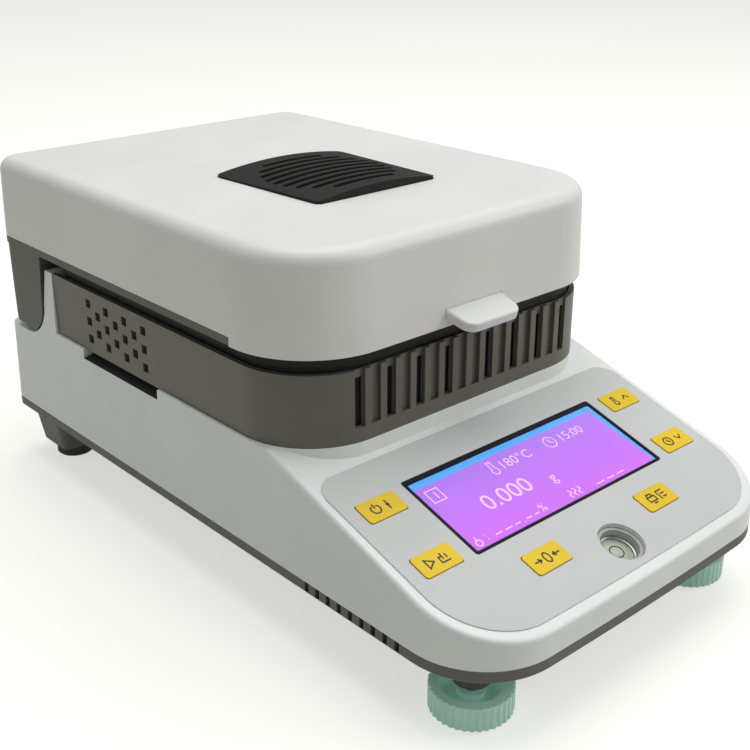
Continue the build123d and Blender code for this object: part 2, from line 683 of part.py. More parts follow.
# Strain-gauge beam: two bores joined by a slot leave thin flexures
cell_rear = HEATER_Y + CELL_END / 2
cell_middle = cell_rear - CELL_LENGTH / 2
cell_top = CELL_BOTTOM_Z + CELL_HEIGHT
with BuildPart() as load_cell:
    with BuildSketch(Plane.YZ):
        with Locations((cell_middle, CELL_BOTTOM_Z + CELL_HEIGHT / 2)):
            Rectangle(CELL_LENGTH, CELL_HEIGHT)
            with GridLocations(CELL_LENGTH / 3, 0, 2, 1):
                Circle(CELL_HEIGHT / 2 - 1.6, mode=Mode.SUBTRACT)
            Rectangle(CELL_LENGTH / 3, CELL_HEIGHT / 3, mode=Mode.SUBTRACT)
    extrude(amount=CELL_WIDTH / 2, both=True)
write(load_cell, "load_cell")

with BuildPart() as cell_adapter:
    with BuildSketch(Plane.XY.offset(cell_top)):
        with Locations((0, HEATER_Y)):
            Circle(ADAPTER_RADIUS)
    extrude(amount=SPINDLE_BOTTOM_Z - cell_top + 4)
    with BuildSketch(Plane.XY.offset(SPINDLE_BOTTOM_Z - SINK_TRAVEL - SOCKET_GAP)):
        with Locations((0, HEATER_Y)):
            Circle(SPINDLE_RADIUS + SOCKET_GAP)
    extrude(amount=10, mode=Mode.SUBTRACT)
write(cell_adapter, "cell_adapter")

# Cast mount under the fixed end of the beam, and the overload stop under the free end
with BuildPart() as cell_mount:
    with BuildSketch(Plane.XY.offset(tray_floor)):
        with Locations((0, cell_middle)):
            RectangleRounded(CELL_WIDTH * 2, CELL_LENGTH + 8, 3)
    extrude(amount=4)
    with BuildSketch(Plane.XY.offset(tray_floor)):
        with Locations((0, cell_middle - CELL_LENGTH / 2 + CELL_END / 2)):
            Rectangle(CELL_WIDTH, CELL_END)
    extrude(amount=CELL_BOTTOM_Z - tray_floor)
    with BuildSketch(Plane.XY.offset(tray_floor)):
        with Locations((0, HEATER_Y)):
            Circle(ADAPTER_RADIUS)
    extrude(amount=CELL_BOTTOM_Z - tray_floor - FIT_GAP)
write(cell_mount, "cell_mount")

# Main circuit board with its larger components
board_z = tray_floor + BOARD_CLEARANCE
with BuildPart() as main_board:
    with BuildSketch(Plane.XY.offset(board_z)):
        with Locations((MAIN_BOARD_X, MAIN_BOARD_Y)):
            Rectangle(MAIN_BOARD_WIDTH, MAIN_BOARD_LENGTH)
    extrude(amount=BOARD_THICKNESS)
    with BuildSketch(Plane.XY.offset(board_z + BOARD_THICKNESS)):
        with Locations((MAIN_BOARD_X - 20, MAIN_BOARD_Y)):
            Rectangle(14, 14)
        with Locations((MAIN_BOARD_X + 12, MAIN_BOARD_Y + 14), (MAIN_BOARD_X + 12, MAIN_BOARD_Y - 8)):
            Rectangle(20, 8)
    extrude(amount=3)
    with BuildSketch(Plane.XY.offset(board_z + BOARD_THICKNESS)):
        with Locations((MAIN_BOARD_X + 34, MAIN_BOARD_Y + 12), (MAIN_BOARD_X + 34, MAIN_BOARD_Y - 8)):
            Circle(6)
    extrude(amount=16)
write(main_board, "main_board")

# Mains transformer: laminated core round a bobbin
with BuildPart() as transformer:
    with BuildSketch(Plane.XY.offset(tray_floor)):
        with Locations((TRANSFORMER_X, TRANSFORMER_Y)):
            Rectangle(48, 26)
    extrude(amount=40)
    with BuildSketch(Plane.XY.offset(tray_floor + 8)):
        with Locations((TRANSFORMER_X, TRANSFORMER_Y)):
            RectangleRounded(30, 46, 4)
    extrude(amount=24)
write(transformer, "transformer")

# Finned heat sink with the power switch that drives the lamp
with BuildPart() as heat_sink:
    with BuildSketch(Plane.XY.offset(tray_floor)):
        with Locations((HEAT_SINK_X, HEAT_SINK_Y)):
            Rectangle(26, 48)
    extrude(amount=4)
    with BuildSketch(Plane.XY.offset(tray_floor)):
        with Locations((HEAT_SINK_X, HEAT_SINK_Y)):
            with GridLocations(0, 7.6, 1, 7):
                Rectangle(26, 2)
    extrude(amount=24)
write(heat_sink, "heat_sink")

# Hinge brackets that stand in the trough, one each side
with BuildPart() as hinge_brackets:
    for side in (-1, 1):
        with BuildSketch(Plane.YZ.offset(side * BRACKET_X)):
            with Locations((HINGE_Y, HINGE_Z)):
                Circle(BRACKET_RADIUS)
            with Locations((HINGE_Y, (HINGE_Z + deck_z) / 2)):
                Rectangle(BRACKET_RADIUS * 2, HINGE_Z - deck_z)
            with Locations((HINGE_Y, HINGE_Z)):
                Circle(PIN_RADIUS + RUNNING_GAP, mode=Mode.SUBTRACT)
        extrude(amount=BRACKET_WIDTH / 2, both=True)
    add(base_housing.part, mode=Mode.SUBTRACT)
write(hinge_brackets, "hinge_brackets")

with BuildPart() as hinge_pins:
    for side in (-1, 1):
        with BuildSketch(Plane.YZ.offset(side * BRACKET_X)):
            with Locations((HINGE_Y, HINGE_Z)):
                Circle(PIN_RADIUS)
        extrude(amount=PIN_LENGTH / 2, both=True)
write(hinge_pins, "hinge_pins")

# Inside of the lid cover
with BuildPart() as lid_hollow:
    with BuildSketch(Plane.XY.offset(LID_BOTTOM_Z)):
        add(lid_outline(WALL))
    extrude(amount=LID_HEIGHT - WALL, taper=LID_DRAFT)
    fillet(lid_hollow.faces().sort_by(Axis.Z)[-1].edges(), LID_FILLET - WALL)

with BuildPart() as lid_columns:
    with BuildSketch(Plane.XY.offset(liner_top_z + LINER_GAP)):
        with Locations(*lid_screw_places):
            Circle(COLUMN_RADIUS)
    extrude(amount=LID_HEIGHT)
    add(lid_hollow.part, mode=Mode.INTERSECT)

# White lid cover, cut back along the sides and rear where the liner's band shows
with BuildPart() as lid_cover:
    with BuildSketch(Plane.XY.offset(LID_BOTTOM_Z)):
        add(lid_outline(0))
    extrude(amount=LID_HEIGHT, taper=LID_DRAFT)
    fillet(lid_cover.faces().sort_by(Axis.Z)[-1].edges(), LID_FILLET)
    add(lid_hollow.part, mode=Mode.SUBTRACT)
    with BuildSketch(Plane.XY.offset(LID_BOTTOM_Z - 1)):
        with Locations((0, LID_RELIEF_Y + BASE_LENGTH / 2)):
            Rectangle(BASE_WIDTH + 10, BASE_LENGTH)
    extrude(amount=LID_RELIEF + 1, mode=Mode.SUBTRACT)
    add(lid_columns.part)
    with BuildSketch(Plane.XY.offset(lid_top - WALL - 1)):
        add(grille_outline(-FIT_GAP))
    extrude(amount=WALL + 2, mode=Mode.SUBTRACT)
    with BuildSketch(handle_plane.offset(LINER_GAP)):
        add(handle_outline(LINER_GAP))
    extrude(amount=-HANDLE_THICKNESS - 2 * LINER_GAP, mode=Mode.SUBTRACT)
write(lid_cover, "lid_cover")

with BuildPart() as lid_handle:
    with BuildSketch(handle_plane):
        add(handle_outline(0))
    extrude(amount=-HANDLE_THICKNESS)
    top_edges = lid_handle.faces().filter_by(
        lambda f: f.geom_type == GeomType.PLANE and f.normal_at().dot(handle_plane.z_dir) > 0.999)[0].edges()
    fillet([e for e in top_edges if e.center().Y < handle_y - 1], 1.2)
write(lid_handle, "lid_handle")

# Black arched grille over the heater
with BuildPart() as grille_inside:
    with BuildSketch(Plane.XZ.offset(-GRILLE_REAR_Y - 5)):
        add(grille_arch(GRILLE_WALL))
    extrude(amount=GRILLE_REAR_Y - GRILLE_FRONT_Y + 10)
    with BuildSketch(Plane.XY.offset(lid_top - GRILLE_DEPTH * 2)):
        add(grille_outline(GRILLE_WALL))
    extrude(amount=GRILLE_DEPTH * 3, mode=Mode.INTERSECT)

with BuildPart() as lid_grille:
    with BuildSketch(Plane.XZ.offset(-GRILLE_REAR_Y - 5)):
        add(grille_arch(0))
    extrude(amount=GRILLE_REAR_Y - GRILLE_FRONT_Y + 10)
    with BuildSketch(Plane.XY.offset(lid_top - GRILLE_DEPTH * 2)):
        add(grille_outline(0))
    extrude(amount=GRILLE_DEPTH * 3, mode=Mode.INTERSECT)
    add(grille_inside.part, mode=Mode.SUBTRACT)
    louvre_y = [(k - (LOUVRE_COUNT - 1) / 2) * LOUVRE_PITCH for k in range(LOUVRE_COUNT)]
    with BuildSketch(Plane.XY.offset(lid_top - GRILLE_WALL)):
        for y in louvre_y:
            with Locations((0, HEATER_Y + y)):
                SlotOverall(2 * math.sqrt(LOUVRE_CIRCLE ** 2 - y ** 2), LOUVRE_WIDTH)
    extrude(amount=GRILLE_RISE + GRILLE_WALL + 1, mode=Mode.SUBTRACT)
write(lid_grille, "lid_grille")

# Rear skirt of the liner: a hollow barrel with two webs beside each hinge bracket
with BuildPart() as skirt_hollow:
    with BuildSketch(Plane.YZ):
        add(skirt_profile(WALL))
    extrude(amount=lid_half - SKIRT_INSET - WALL, both=True)

web_x = [side * (BRACKET_X + step * (BRACKET_WIDTH / 2 + SIDE_GAP + WALL / 2))
         for side in (-1, 1) for step in (-1, 1)]
with BuildPart() as liner_skirt:
    with BuildSketch(Plane.YZ):
        add(skirt_profile(0))
    extrude(amount=lid_half - SKIRT_INSET, both=True)
    with BuildSketch(Plane.XY.offset(deck_z)):
        add(outline(lid_half - SKIRT_INSET, lid_front, HINGE_Y + BARREL_RADIUS, LID_FRONT_RADIUS,
                    SKIRT_RADIUS))
    extrude(amount=liner_top_z - deck_z, mode=Mode.INTERSECT)
    add(skirt_hollow.part, mode=Mode.SUBTRACT)
    for x in web_x:
        with BuildSketch(Plane.YZ.offset(x)):
            add(skirt_profile(0))
        extrude(amount=WALL / 2, both=True)
    # slots that clear the brackets while the lid turns
    with BuildSketch(Plane.XY.offset(deck_z - 1)):
        with Locations((-BRACKET_X, HINGE_Y), (BRACKET_X, HINGE_Y)):
            Rectangle(BRACKET_WIDTH + 2 * SIDE_GAP, BARREL_RADIUS * 3)
    extrude(amount=HINGE_Z + BRACKET_RADIUS + 1.2 - deck_z + 1, mode=Mode.SUBTRACT)
    with BuildSketch(Plane.YZ.offset(-BRACKET_X - BRACKET_WIDTH)):
        with Locations((HINGE_Y, HINGE_Z)):
            Circle(PIN_RADIUS + RUNNING_GAP)
    extrude(amount=2 * (BRACKET_X + BRACKET_WIDTH), mode=Mode.SUBTRACT)

# Grey liner: the plate that closes the lid, its visible band and the rear skirt
with BuildPart() as lid_liner:
    with BuildSketch(Plane.XY.offset(liner_plate_z)):
        add(lid_outline(WALL + FIT_GAP))
    extrude(amount=LINER_PLATE)
    with BuildSketch(Plane.XY.offset(liner_band_z)):
        add(lid_outline(LINER_GAP))
        add(lid_outline(LINER_BAND), mode=Mode.SUBTRACT)
        with Locations((0, LID_RELIEF_Y + LINER_GAP + BASE_LENGTH / 2)):
            Rectangle(BASE_WIDTH, BASE_LENGTH, mode=Mode.INTERSECT)
    extrude(amount=liner_top_z - liner_band_z)
    add(liner_skirt.part)
    with BuildSketch(Plane.YZ):
        add(skirt_profile(WALL))
    extrude(amount=BRACKET_X - BRACKET_WIDTH, both=True, mode=Mode.SUBTRACT)
    with BuildSketch(Plane.XY.offset(liner_top_z - 0.5)):
        with Locations((0, HEATER_Y)):
            Circle(GLASS_RADIUS + LINER_GAP + 3)
            Circle(GLASS_RADIUS + LINER_GAP, mode=Mode.SUBTRACT)
            with PolarLocations(BOSS_CIRCLE, 4, 45):
                Circle(REFLECTOR_BOSS)
    extrude(amount=GLASS_THICKNESS + 0.5)
    with BuildSketch(Plane.XY.offset(liner_plate_z - 1)):
        with Locations((0, HEATER_Y)):
            Circle(HEATER_OPENING)
    extrude(amount=LINER_PLATE + 2, mode=Mode.SUBTRACT)
    with BuildSketch(Plane.XY.offset(liner_plate_z - 1)):
        with Locations(*lid_screw_places):
            Circle(SCREW_RADIUS + 0.1)
        with Locations((0, HEATER_Y)):
            with PolarLocations(BOSS_CIRCLE, 4, 45):
                Circle(SCREW_RADIUS + 0.1)
    extrude(amount=LINER_PLATE + GLASS_THICKNESS + 2, mode=Mode.SUBTRACT)
write(lid_liner, "lid_liner")

with BuildPart() as guard_glass:
    with BuildSketch(Plane.XY.offset(liner_top_z)):
        with Locations((0, HEATER_Y)):
            Circle(GLASS_RADIUS)
    extrude(amount=GLASS_THICKNESS)
write(guard_glass, "guard_glass")

lamp_gap = math.degrees(math.asin(LAMP_LEG_X / LAMP_RING_RADIUS))
leg_y = HEATER_Y + LAMP_RING_RADIUS * math.cos(math.radians(lamp_gap))

# Spun aluminium reflector with a flange that holds the glass down
flange_z = liner_top_z + GLASS_THICKNESS
reflector_top = flange_z + REFLECTOR_HEIGHT
with BuildPart() as reflector:
    with BuildSketch(Plane.XZ.offset(-HEATER_Y)):
        with BuildLine():
            Polyline((GLASS_RADIUS - 4, flange_z), (REFLECTOR_RADIUS, flange_z),
                     (REFLECTOR_RADIUS, flange_z + SHEET), (GLASS_RADIUS - 3.4, flange_z + SHEET),
                     (REFLECTOR_THROAT, reflector_top), (PROBE_RADIUS + 0.2, reflector_top),
                     (PROBE_RADIUS + 0.2, reflector_top - SHEET),
                     (REFLECTOR_THROAT - 0.6, reflector_top - SHEET),
                     close=True)
        make_face()
    revolve(axis=Axis((0, HEATER_Y, 0), (0, 0, 1)))
    with BuildSketch(Plane.XY.offset(reflector_top - 3)):
        with Locations((-LAMP_LEG_X, leg_y), (LAMP_LEG_X, leg_y)):
            Circle(LAMP_TUBE_RADIUS)
    extrude(amount=6, mode=Mode.SUBTRACT)
    with BuildSketch(Plane.XY.offset(flange_z - 1)):
        with Locations((0, HEATER_Y)):
            with PolarLocations(BOSS_CIRCLE, 4, 45):
                Circle(SCREW_RADIUS + 0.1)
    extrude(amount=3, mode=Mode.SUBTRACT)
write(reflector, "reflector")

# Ring-shaped halogen lamp with two legs that plug into ceramic sockets
with BuildPart() as heater_lamp:
    with BuildLine():
        CenterArc((0, HEATER_Y, LAMP_Z), LAMP_RING_RADIUS, 90 + lamp_gap, 360 - 2 * lamp_gap)
    with BuildSketch(Plane(origin=(-LAMP_LEG_X, leg_y, LAMP_Z),
                           z_dir=(-math.cos(math.radians(lamp_gap)), -math.sin(math.radians(lamp_gap)), 0))):
        Circle(LAMP_TUBE_RADIUS - 1)
    sweep()
    with BuildSketch(Plane.XY.offset(LAMP_Z - LAMP_TUBE_RADIUS + 1)):
        with Locations((-LAMP_LEG_X, leg_y), (LAMP_LEG_X, leg_y)):
            Circle(LAMP_TUBE_RADIUS - 1)
    extrude(amount=reflector_top - LAMP_Z + LAMP_TUBE_RADIUS - 1)
write(heater_lamp, "heater_lamp")

with BuildPart() as lamp_sockets:
    with BuildSketch(Plane.XY.offset(reflector_top)):
        with Locations((-LAMP_LEG_X, leg_y), (LAMP_LEG_X, leg_y)):
            Rectangle(SOCKET_SIZE, SOCKET_SIZE)
    extrude(amount=SOCKET_HEIGHT)
write(lamp_sockets, "lamp_sockets")

with BuildPart() as temperature_probe:
    with BuildSketch(Plane.XY.offset(PROBE_TIP_Z)):
        with Locations((0, HEATER_Y)):
            Circle(PROBE_RADIUS)
    extrude(amount=reflector_top - PROBE_TIP_Z)
    with BuildSketch(Plane.XY.offset(reflector_top)):
        with Locations((0, HEATER_Y)):
            Circle(PROBE_RADIUS * 2)
    extrude(amount=3)
write(temperature_probe, "temperature_probe")

# Printed film on the panel, cut out for the window, the keys and the level
with BuildPart() as panel_overlay:
    with BuildSketch(panel):
        add(outline(OVERLAY_HALF_WIDTH, OVERLAY_BOTTOM + 1.5, OVERLAY_TOP, OVERLAY_BOTTOM_RADIUS,
                    OVERLAY_TOP_RADIUS, 1.5))
        with Locations(display_centre):
            RectangleRounded(DISPLAY_WIDTH + LINER_GAP, DISPLAY_HEIGHT + LINER_GAP, KEY_RADIUS,
                             mode=Mode.SUBTRACT)
        with Locations(*key_places.values()):
            RectangleRounded(KEY_WIDTH + 2 * FIT_GAP, KEY_DEPTH + 2 * FIT_GAP, KEY_RADIUS,
                             mode=Mode.SUBTRACT)
        with Locations((0, LEVEL_Y)):
            Circle(LEVEL_HOLE, mode=Mode.SUBTRACT)
    extrude(amount=OVERLAY_THICKNESS)
write(panel_overlay, "panel_overlay")

with BuildPart() as display_window:
    with BuildSketch(panel.offset(OVERLAY_THICKNESS)):
        with Locations(display_centre):
            RectangleRounded(DISPLAY_WIDTH, DISPLAY_HEIGHT, KEY_RADIUS)
    extrude(amount=-WINDOW_DEPTH)
write(display_window, "display_window")

# Display module: the glass fills the panel opening, its frame lies behind the panel
with BuildPart() as lcd_module:
    with BuildSketch(panel.offset(OVERLAY_THICKNESS - WINDOW_DEPTH - LINER_GAP)):
        with Locations(display_centre):
            Rectangle(opening_width - 2 * FIT_GAP, opening_height - 2 * FIT_GAP)
    extrude(amount=-LCD_DEPTH)
    with BuildSketch(panel.offset(-WALL - FIT_GAP)):
        with Locations(display_centre):
            Rectangle(opening_width + 2 * LCD_FLANGE, opening_height + 2 * LCD_FLANGE)
    extrude(amount=-BOARD_THICKNESS)
write(lcd_module, "lcd_module")

with BuildPart() as key_board:
    with BuildSketch(panel.offset(-BOARD_DEPTH)):
        add(outline(half_base - BOARD_SIDE_INSET, BOARD_FRONT, BOARD_REAR, BOARD_FRONT_RADIUS,
                    BOARD_REAR_RADIUS))
        with Locations(display_centre):
            Rectangle(opening_width + 2 * LCD_FLANGE + 2, opening_height + 2 * LCD_FLANGE + 2,
                      mode=Mode.SUBTRACT)
        with Locations((0, LEVEL_Y)):
            Circle(LEVEL_HOLE + 1, mode=Mode.SUBTRACT)
    extrude(amount=-BOARD_THICKNESS)
write(key_board, "key_board")

with BuildPart() as switch_domes:
    with BuildSketch(panel.offset(-BOARD_DEPTH)):
        with Locations(*key_places.values()):
            Circle(3.4)
    extrude(amount=DOME_HEIGHT)
write(switch_domes, "switch_domes")

# Six sprung keys: cap, retaining flange behind the panel and a plunger over the dome
key_bottom = -WALL - FIT_GAP - 0.2
for key_name, place in key_places.items():
    with BuildPart() as key:
        with BuildSketch(panel.offset(KEY_PROUD)):
            with Locations(place):
                RectangleRounded(KEY_WIDTH, KEY_DEPTH, KEY_RADIUS)
        extrude(amount=key_bottom - KEY_PROUD)
        with BuildSketch(panel.offset(key_bottom)):
            with Locations(place):
                RectangleRounded(KEY_WIDTH + 2 * KEY_FLANGE, KEY_DEPTH + 2 * KEY_FLANGE, KEY_RADIUS)
        extrude(amount=-0.9)
        with BuildSketch(panel.offset(key_bottom - 0.9)):
            with Locations(place):
                Circle(2)
        extrude(amount=-(BOARD_DEPTH - DOME_HEIGHT + key_bottom - 0.9 - KEY_TRAVEL - FIT_GAP))
    write(key, key_name)

# Bubble level: a cup below the panel with its glass and bubble
with BuildPart() as level_cup:
    with BuildSketch(panel.offset(-LEVEL_SINK)):
        with Locations((0, LEVEL_Y)):
            Circle(LEVEL_RADIUS)
    extrude(amount=-LEVEL_HEIGHT)
    with BuildSketch(panel.offset(-LEVEL_SINK)):
        with Locations((0, LEVEL_Y)):
            Circle(LEVEL_RADIUS - 1.4)
    extrude(amount=-LEVEL_HEIGHT + 2, mode=Mode.SUBTRACT)
write(level_cup, "level_cup")

with BuildPart() as level_vial:
    with BuildSketch(panel.offset(-LEVEL_SINK - LEVEL_HEIGHT + 2)):
        with Locations((0, LEVEL_Y)):
            Circle(LEVEL_RADIUS - 1.4 - LINER_GAP)
    extrude(amount=LEVEL_HEIGHT - 3)
write(level_vial, "level_vial")

# Levelling feet: a knurled wheel turns on a threaded stud over a pad that stays still
for side_name, side in side_places.items():
    with BuildPart() as wheel:
        with BuildSketch(Plane.XY.offset(WHEEL_BOTTOM_Z)):
            with Locations((side * FOOT_X, FOOT_Y)):
                Circle(WHEEL_RADIUS)
                with PolarLocations(WHEEL_RADIUS + KNURL_RADIUS * 0.4, KNURL_COUNT):
                    Circle(KNURL_RADIUS, mode=Mode.SUBTRACT)
        extrude(amount=WHEEL_HEIGHT)
        with BuildSketch(Plane.XY.offset(WHEEL_BOTTOM_Z + WHEEL_HEIGHT - WHEEL_WELL_DEPTH)):
            with Locations((side * FOOT_X, FOOT_Y)):
                Circle(WHEEL_WELL_RADIUS)
                Circle(BOSS_RADIUS - 2, mode=Mode.SUBTRACT)
        extrude(amount=WHEEL_WELL_DEPTH, mode=Mode.SUBTRACT)
        with BuildSketch(Plane.XY.offset(WHEEL_BOTTOM_Z + WHEEL_HEIGHT - WHEEL_WELL_DEPTH / 2)):
            with Locations((side * FOOT_X, FOOT_Y)):
                Circle(WHEEL_WELL_RADIUS)
        extrude(amount=WHEEL_WELL_DEPTH, mode=Mode.SUBTRACT)
        with BuildSketch(Plane.XY.offset(WHEEL_BOTTOM_Z)):
            with Locations((side * FOOT_X, FOOT_Y)):
                Circle(STUD_RADIUS + RUNNING_GAP)
        extrude(amount=WHEEL_HEIGHT, mode=Mode.SUBTRACT)
    write(wheel, "levelling_wheel_" + side_name)
    with BuildPart() as stud:
        with BuildSketch(Plane.XY.offset(WHEEL_BOTTOM_Z + 3)):
            with Locations((side * FOOT_X, FOOT_Y)):
                Circle(STUD_RADIUS)
        extrude(amount=STUD_TOP_Z - WHEEL_BOTTOM_Z - 3)
    write(stud, "levelling_stud_" + side_name)
    with BuildPart() as pad:
        with BuildSketch(Plane.XY):
            with Locations((side * FOOT_X, FOOT_Y)):
                Circle(PAD_RADIUS)
        extrude(amount=PAD_HEIGHT)
        with BuildSketch(Plane.XY):
            with Locations((side * FOOT_X, FOOT_Y)):
                Circle(STUD_RADIUS - 0.4)
        extrude(amount=WHEEL_BOTTOM_Z + 3 - FIT_GAP)
    write(pad, "foot_pad_" + side_name)

with BuildPart() as thread_inserts:
    with BuildSketch(Plane.XY.offset(BOSS_BOTTOM_Z + 0.5)):
        with Locations((-FOOT_X, FOOT_Y), (FOOT_X, FOOT_Y)):
            Circle(INSERT_RADIUS)
            Circle(STUD_RADIUS + RUNNING_GAP, mode=Mode.SUBTRACT)
    extrude(amount=INSERT_LENGTH)
write(thread_inserts, "thread_inserts")

with BuildPart() as rear_foot_pads:
    with BuildSketch(Plane.XY):
        with Locations((-REAR_FOOT_X, REAR_FOOT_Y), (REAR_FOOT_X, REAR_FOOT_Y)):
            Circle(REAR_PAD_RADIUS)
    extrude(amount=REAR_FOOT_BOTTOM_Z + REAR_PAD_RECESS - LINER_GAP)
    chamfer(rear_foot_pads.edges().group_by(Axis.Z)[0], 1.0)
write(rear_foot_pads, "rear_foot_pads")

# Mains inlet with its cavity and three pins
inlet_face_y = base_rear - PORT_RECESS / 4
with BuildPart() as power_inlet:
    with BuildSketch(Plane.XZ.offset(-inlet_face_y)):
        with Locations((INLET_X, INLET_Z)):
            RectangleRounded(INLET_FLANGE_WIDTH, INLET_FLANGE_HEIGHT, 3)
    extrude(amount=inlet_face_y - port_wall_y)
    with BuildSketch(Plane.XZ.offset(-port_wall_y)):
        with Locations((INLET_X, INLET_Z)):
            Rectangle(INLET_BODY_WIDTH, INLET_BODY_HEIGHT)
    extrude(amount=INLET_BODY_DEPTH)
    with BuildSketch(Plane.XZ.offset(-inlet_face_y - 1)):
        with Locations((INLET_X, INLET_Z)):
            RectangleRounded(INLET_CAVITY_WIDTH, INLET_CAVITY_HEIGHT, 2)
    extrude(amount=INLET_CAVITY_DEPTH + 1, mode=Mode.SUBTRACT)
write(power_inlet, "power_inlet")

with BuildPart() as inlet_pins:
    with BuildSketch(Plane.XZ.offset(-inlet_face_y + 5)):
        with Locations((INLET_X - 7, INLET_Z - 2), (INLET_X, INLET_Z + 2), (INLET_X + 7, INLET_Z - 2)):
            Rectangle(2, 4)
    extrude(amount=INLET_CAVITY_DEPTH - 5)
write(inlet_pins, "inlet_pins")

with BuildPart() as serial_port:
    with BuildSketch(Plane.XZ.offset(-port_wall_y - 1)):
        with Locations((SERIAL_X, INLET_Z)):
            RectangleRounded(31, 12.6, 2)
    extrude(amount=1)
    with BuildSketch(Plane.XZ.offset(-inlet_face_y)):
        with Locations((SERIAL_X, INLET_Z)):
            RectangleRounded(17.8, 8.8, 1.8)
    extrude(amount=12)
write(serial_port, "serial_port")

with BuildPart() as tray_screws:
    with BuildSketch(Plane.XY.offset(TRAY_BOTTOM_Z + LINER_GAP)):
        with Locations(*column_places):
            Circle(SCREW_HEAD_RADIUS)
    extrude(amount=SCREW_HEAD - LINER_GAP)
    with BuildSketch(Plane.XY.offset(TRAY_BOTTOM_Z + SCREW_HEAD)):
        with Locations(*column_places):
            Circle(SCREW_RADIUS)
    extrude(amount=tray_floor - TRAY_BOTTOM_Z - SCREW_HEAD + LINER_GAP)
write(tray_screws, "tray_screws")

with BuildPart() as lid_screws:
    with BuildSketch(Plane.XY.offset(liner_plate_z - SCREW_HEAD)):
        with Locations(*lid_screw_places):
            Circle(SCREW_HEAD_RADIUS)
    extrude(amount=SCREW_HEAD)
    with BuildSketch(Plane.XY.offset(liner_plate_z)):
        with Locations(*lid_screw_places):
            Circle(SCREW_RADIUS)
    extrude(amount=LINER_PLATE + LINER_GAP)
write(lid_screws, "lid_screws")

with BuildPart() as reflector_screws:
    with BuildSketch(Plane.XY.offset(flange_z + SHEET)):
        with Locations((0, HEATER_Y)):
            with PolarLocations(BOSS_CIRCLE, 4, 45):
                Circle(SCREW_HEAD_RADIUS)
    extrude(amount=SCREW_HEAD)
    with BuildSketch(Plane.XY.offset(liner_top_z)):
        with Locations((0, HEATER_Y)):
            with PolarLocations(BOSS_CIRCLE, 4, 45):
                Circle(SCREW_RADIUS)
    extrude(amount=GLASS_THICKNESS + SHEET)
write(reflector_screws, "reflector_screws")
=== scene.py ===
import math

import bmesh
import bpy
from mathutils import Matrix, Vector


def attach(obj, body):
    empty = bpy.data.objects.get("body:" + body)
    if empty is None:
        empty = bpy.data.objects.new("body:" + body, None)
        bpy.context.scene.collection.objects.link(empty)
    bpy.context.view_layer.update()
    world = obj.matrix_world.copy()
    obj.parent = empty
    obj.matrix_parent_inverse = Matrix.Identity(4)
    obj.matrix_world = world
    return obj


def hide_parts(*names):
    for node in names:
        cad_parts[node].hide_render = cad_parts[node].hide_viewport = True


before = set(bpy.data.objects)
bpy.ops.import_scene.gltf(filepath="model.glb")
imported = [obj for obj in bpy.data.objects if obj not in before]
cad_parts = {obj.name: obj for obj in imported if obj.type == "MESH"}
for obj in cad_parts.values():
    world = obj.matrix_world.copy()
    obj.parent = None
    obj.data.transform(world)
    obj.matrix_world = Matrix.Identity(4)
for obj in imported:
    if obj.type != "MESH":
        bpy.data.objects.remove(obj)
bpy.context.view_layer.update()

# A bench moisture analyser in metres: X right, Y to the rear, Z up.
# The sloping panel has its own coordinates: a to the right, b up the slope, h off the surface.
MM = 0.001
PANEL_TILT = math.radians(17.5)
PANEL_ORIGIN = Vector((0.0, -137.0, 62.7)) * MM
HEATER_AXIS = Vector((0.0, 21.5, 0.0)) * MM
LAMP_Z = 148.0
LAMP_RING_RADIUS = 38.0
LAMP_LEG_X = 10.0
LAMP_GAP = math.asin(LAMP_LEG_X / LAMP_RING_RADIUS)
POINTS_PER_TURN = 8
WINDOW_TOP = 0.5
WINDOW_UNDERSIDE = 0.12
LCD_FACE = -0.3
KEY_FACE = 1.0
ROOM_LIGHT = 0.39
ROOM_SEEN = 1.0
KEY_CENTRES = {
    "key_power": (-79.5, 33.5),
    "key_test": (-79.5, -0.5),
    "key_tare": (-37.4, -22.8),
    "key_print": (37.4, -22.8),
    "key_time": (79.5, -0.5),
    "key_heat": (79.5, 33.5),
}

panel_up = Vector((0.0, math.cos(PANEL_TILT), math.sin(PANEL_TILT)))
panel_out = Vector((0.0, -math.sin(PANEL_TILT), math.cos(PANEL_TILT)))


def on_panel(a, b, h):
    """A point given in millimetres on the panel, in metres in the frame."""
    return PANEL_ORIGIN + Vector((a, 0.0, 0.0)) * MM + panel_up * (b * MM) + panel_out * (h * MM)


# Materials

def linear(hex_colour):
    """Turn an sRGB hex colour into linear RGBA."""
    channels = [int(hex_colour[i:i + 2], 16) / 255 for i in (1, 3, 5)]
    return [c / 12.92 if c <= 0.04045 else ((c + 0.055) / 1.055) ** 2.4 for c in channels] + [1.0]


def live(sockets, name):
    """The socket in use with this name or number."""
    if isinstance(name, int):
        return sockets[name]
    return next(socket for socket in sockets if socket.name == name and socket.enabled)


def add_node(tree, kind, inputs=None, **settings):
    """Add a node with its settings, then set or link its inputs."""
    made = tree.nodes.new(kind)
    for name, value in settings.items():
        setattr(made, name, value)
    for name, value in (inputs or {}).items():
        socket = live(made.inputs, name)
        if isinstance(value, bpy.types.NodeSocket):
            tree.links.new(value, socket)
        else:
            socket.default_value = value
    return made


def start_material(name, **sockets):
    """A material with constants set straight on its shader's sockets."""
    material = bpy.data.materials.new(name)
    material.use_nodes = True
    shader = material.node_tree.nodes["Principled BSDF"]
    for socket, value in sockets.items():
        shader.inputs[socket.replace("_", " ")].default_value = value
    return material, material.node_tree, shader


def object_place(tree, scale=(1, 1, 1), centre=(0, 0, 0)):
    """Object coordinates, centred and scaled for a pattern."""
    place = add_node(tree, "ShaderNodeTexCoord")
    mapping = add_node(tree, "ShaderNodeMapping", {
        "Vector": place.outputs["Object"], "Location": [-c for c in centre], "Scale": scale})
    return mapping.outputs["Vector"]


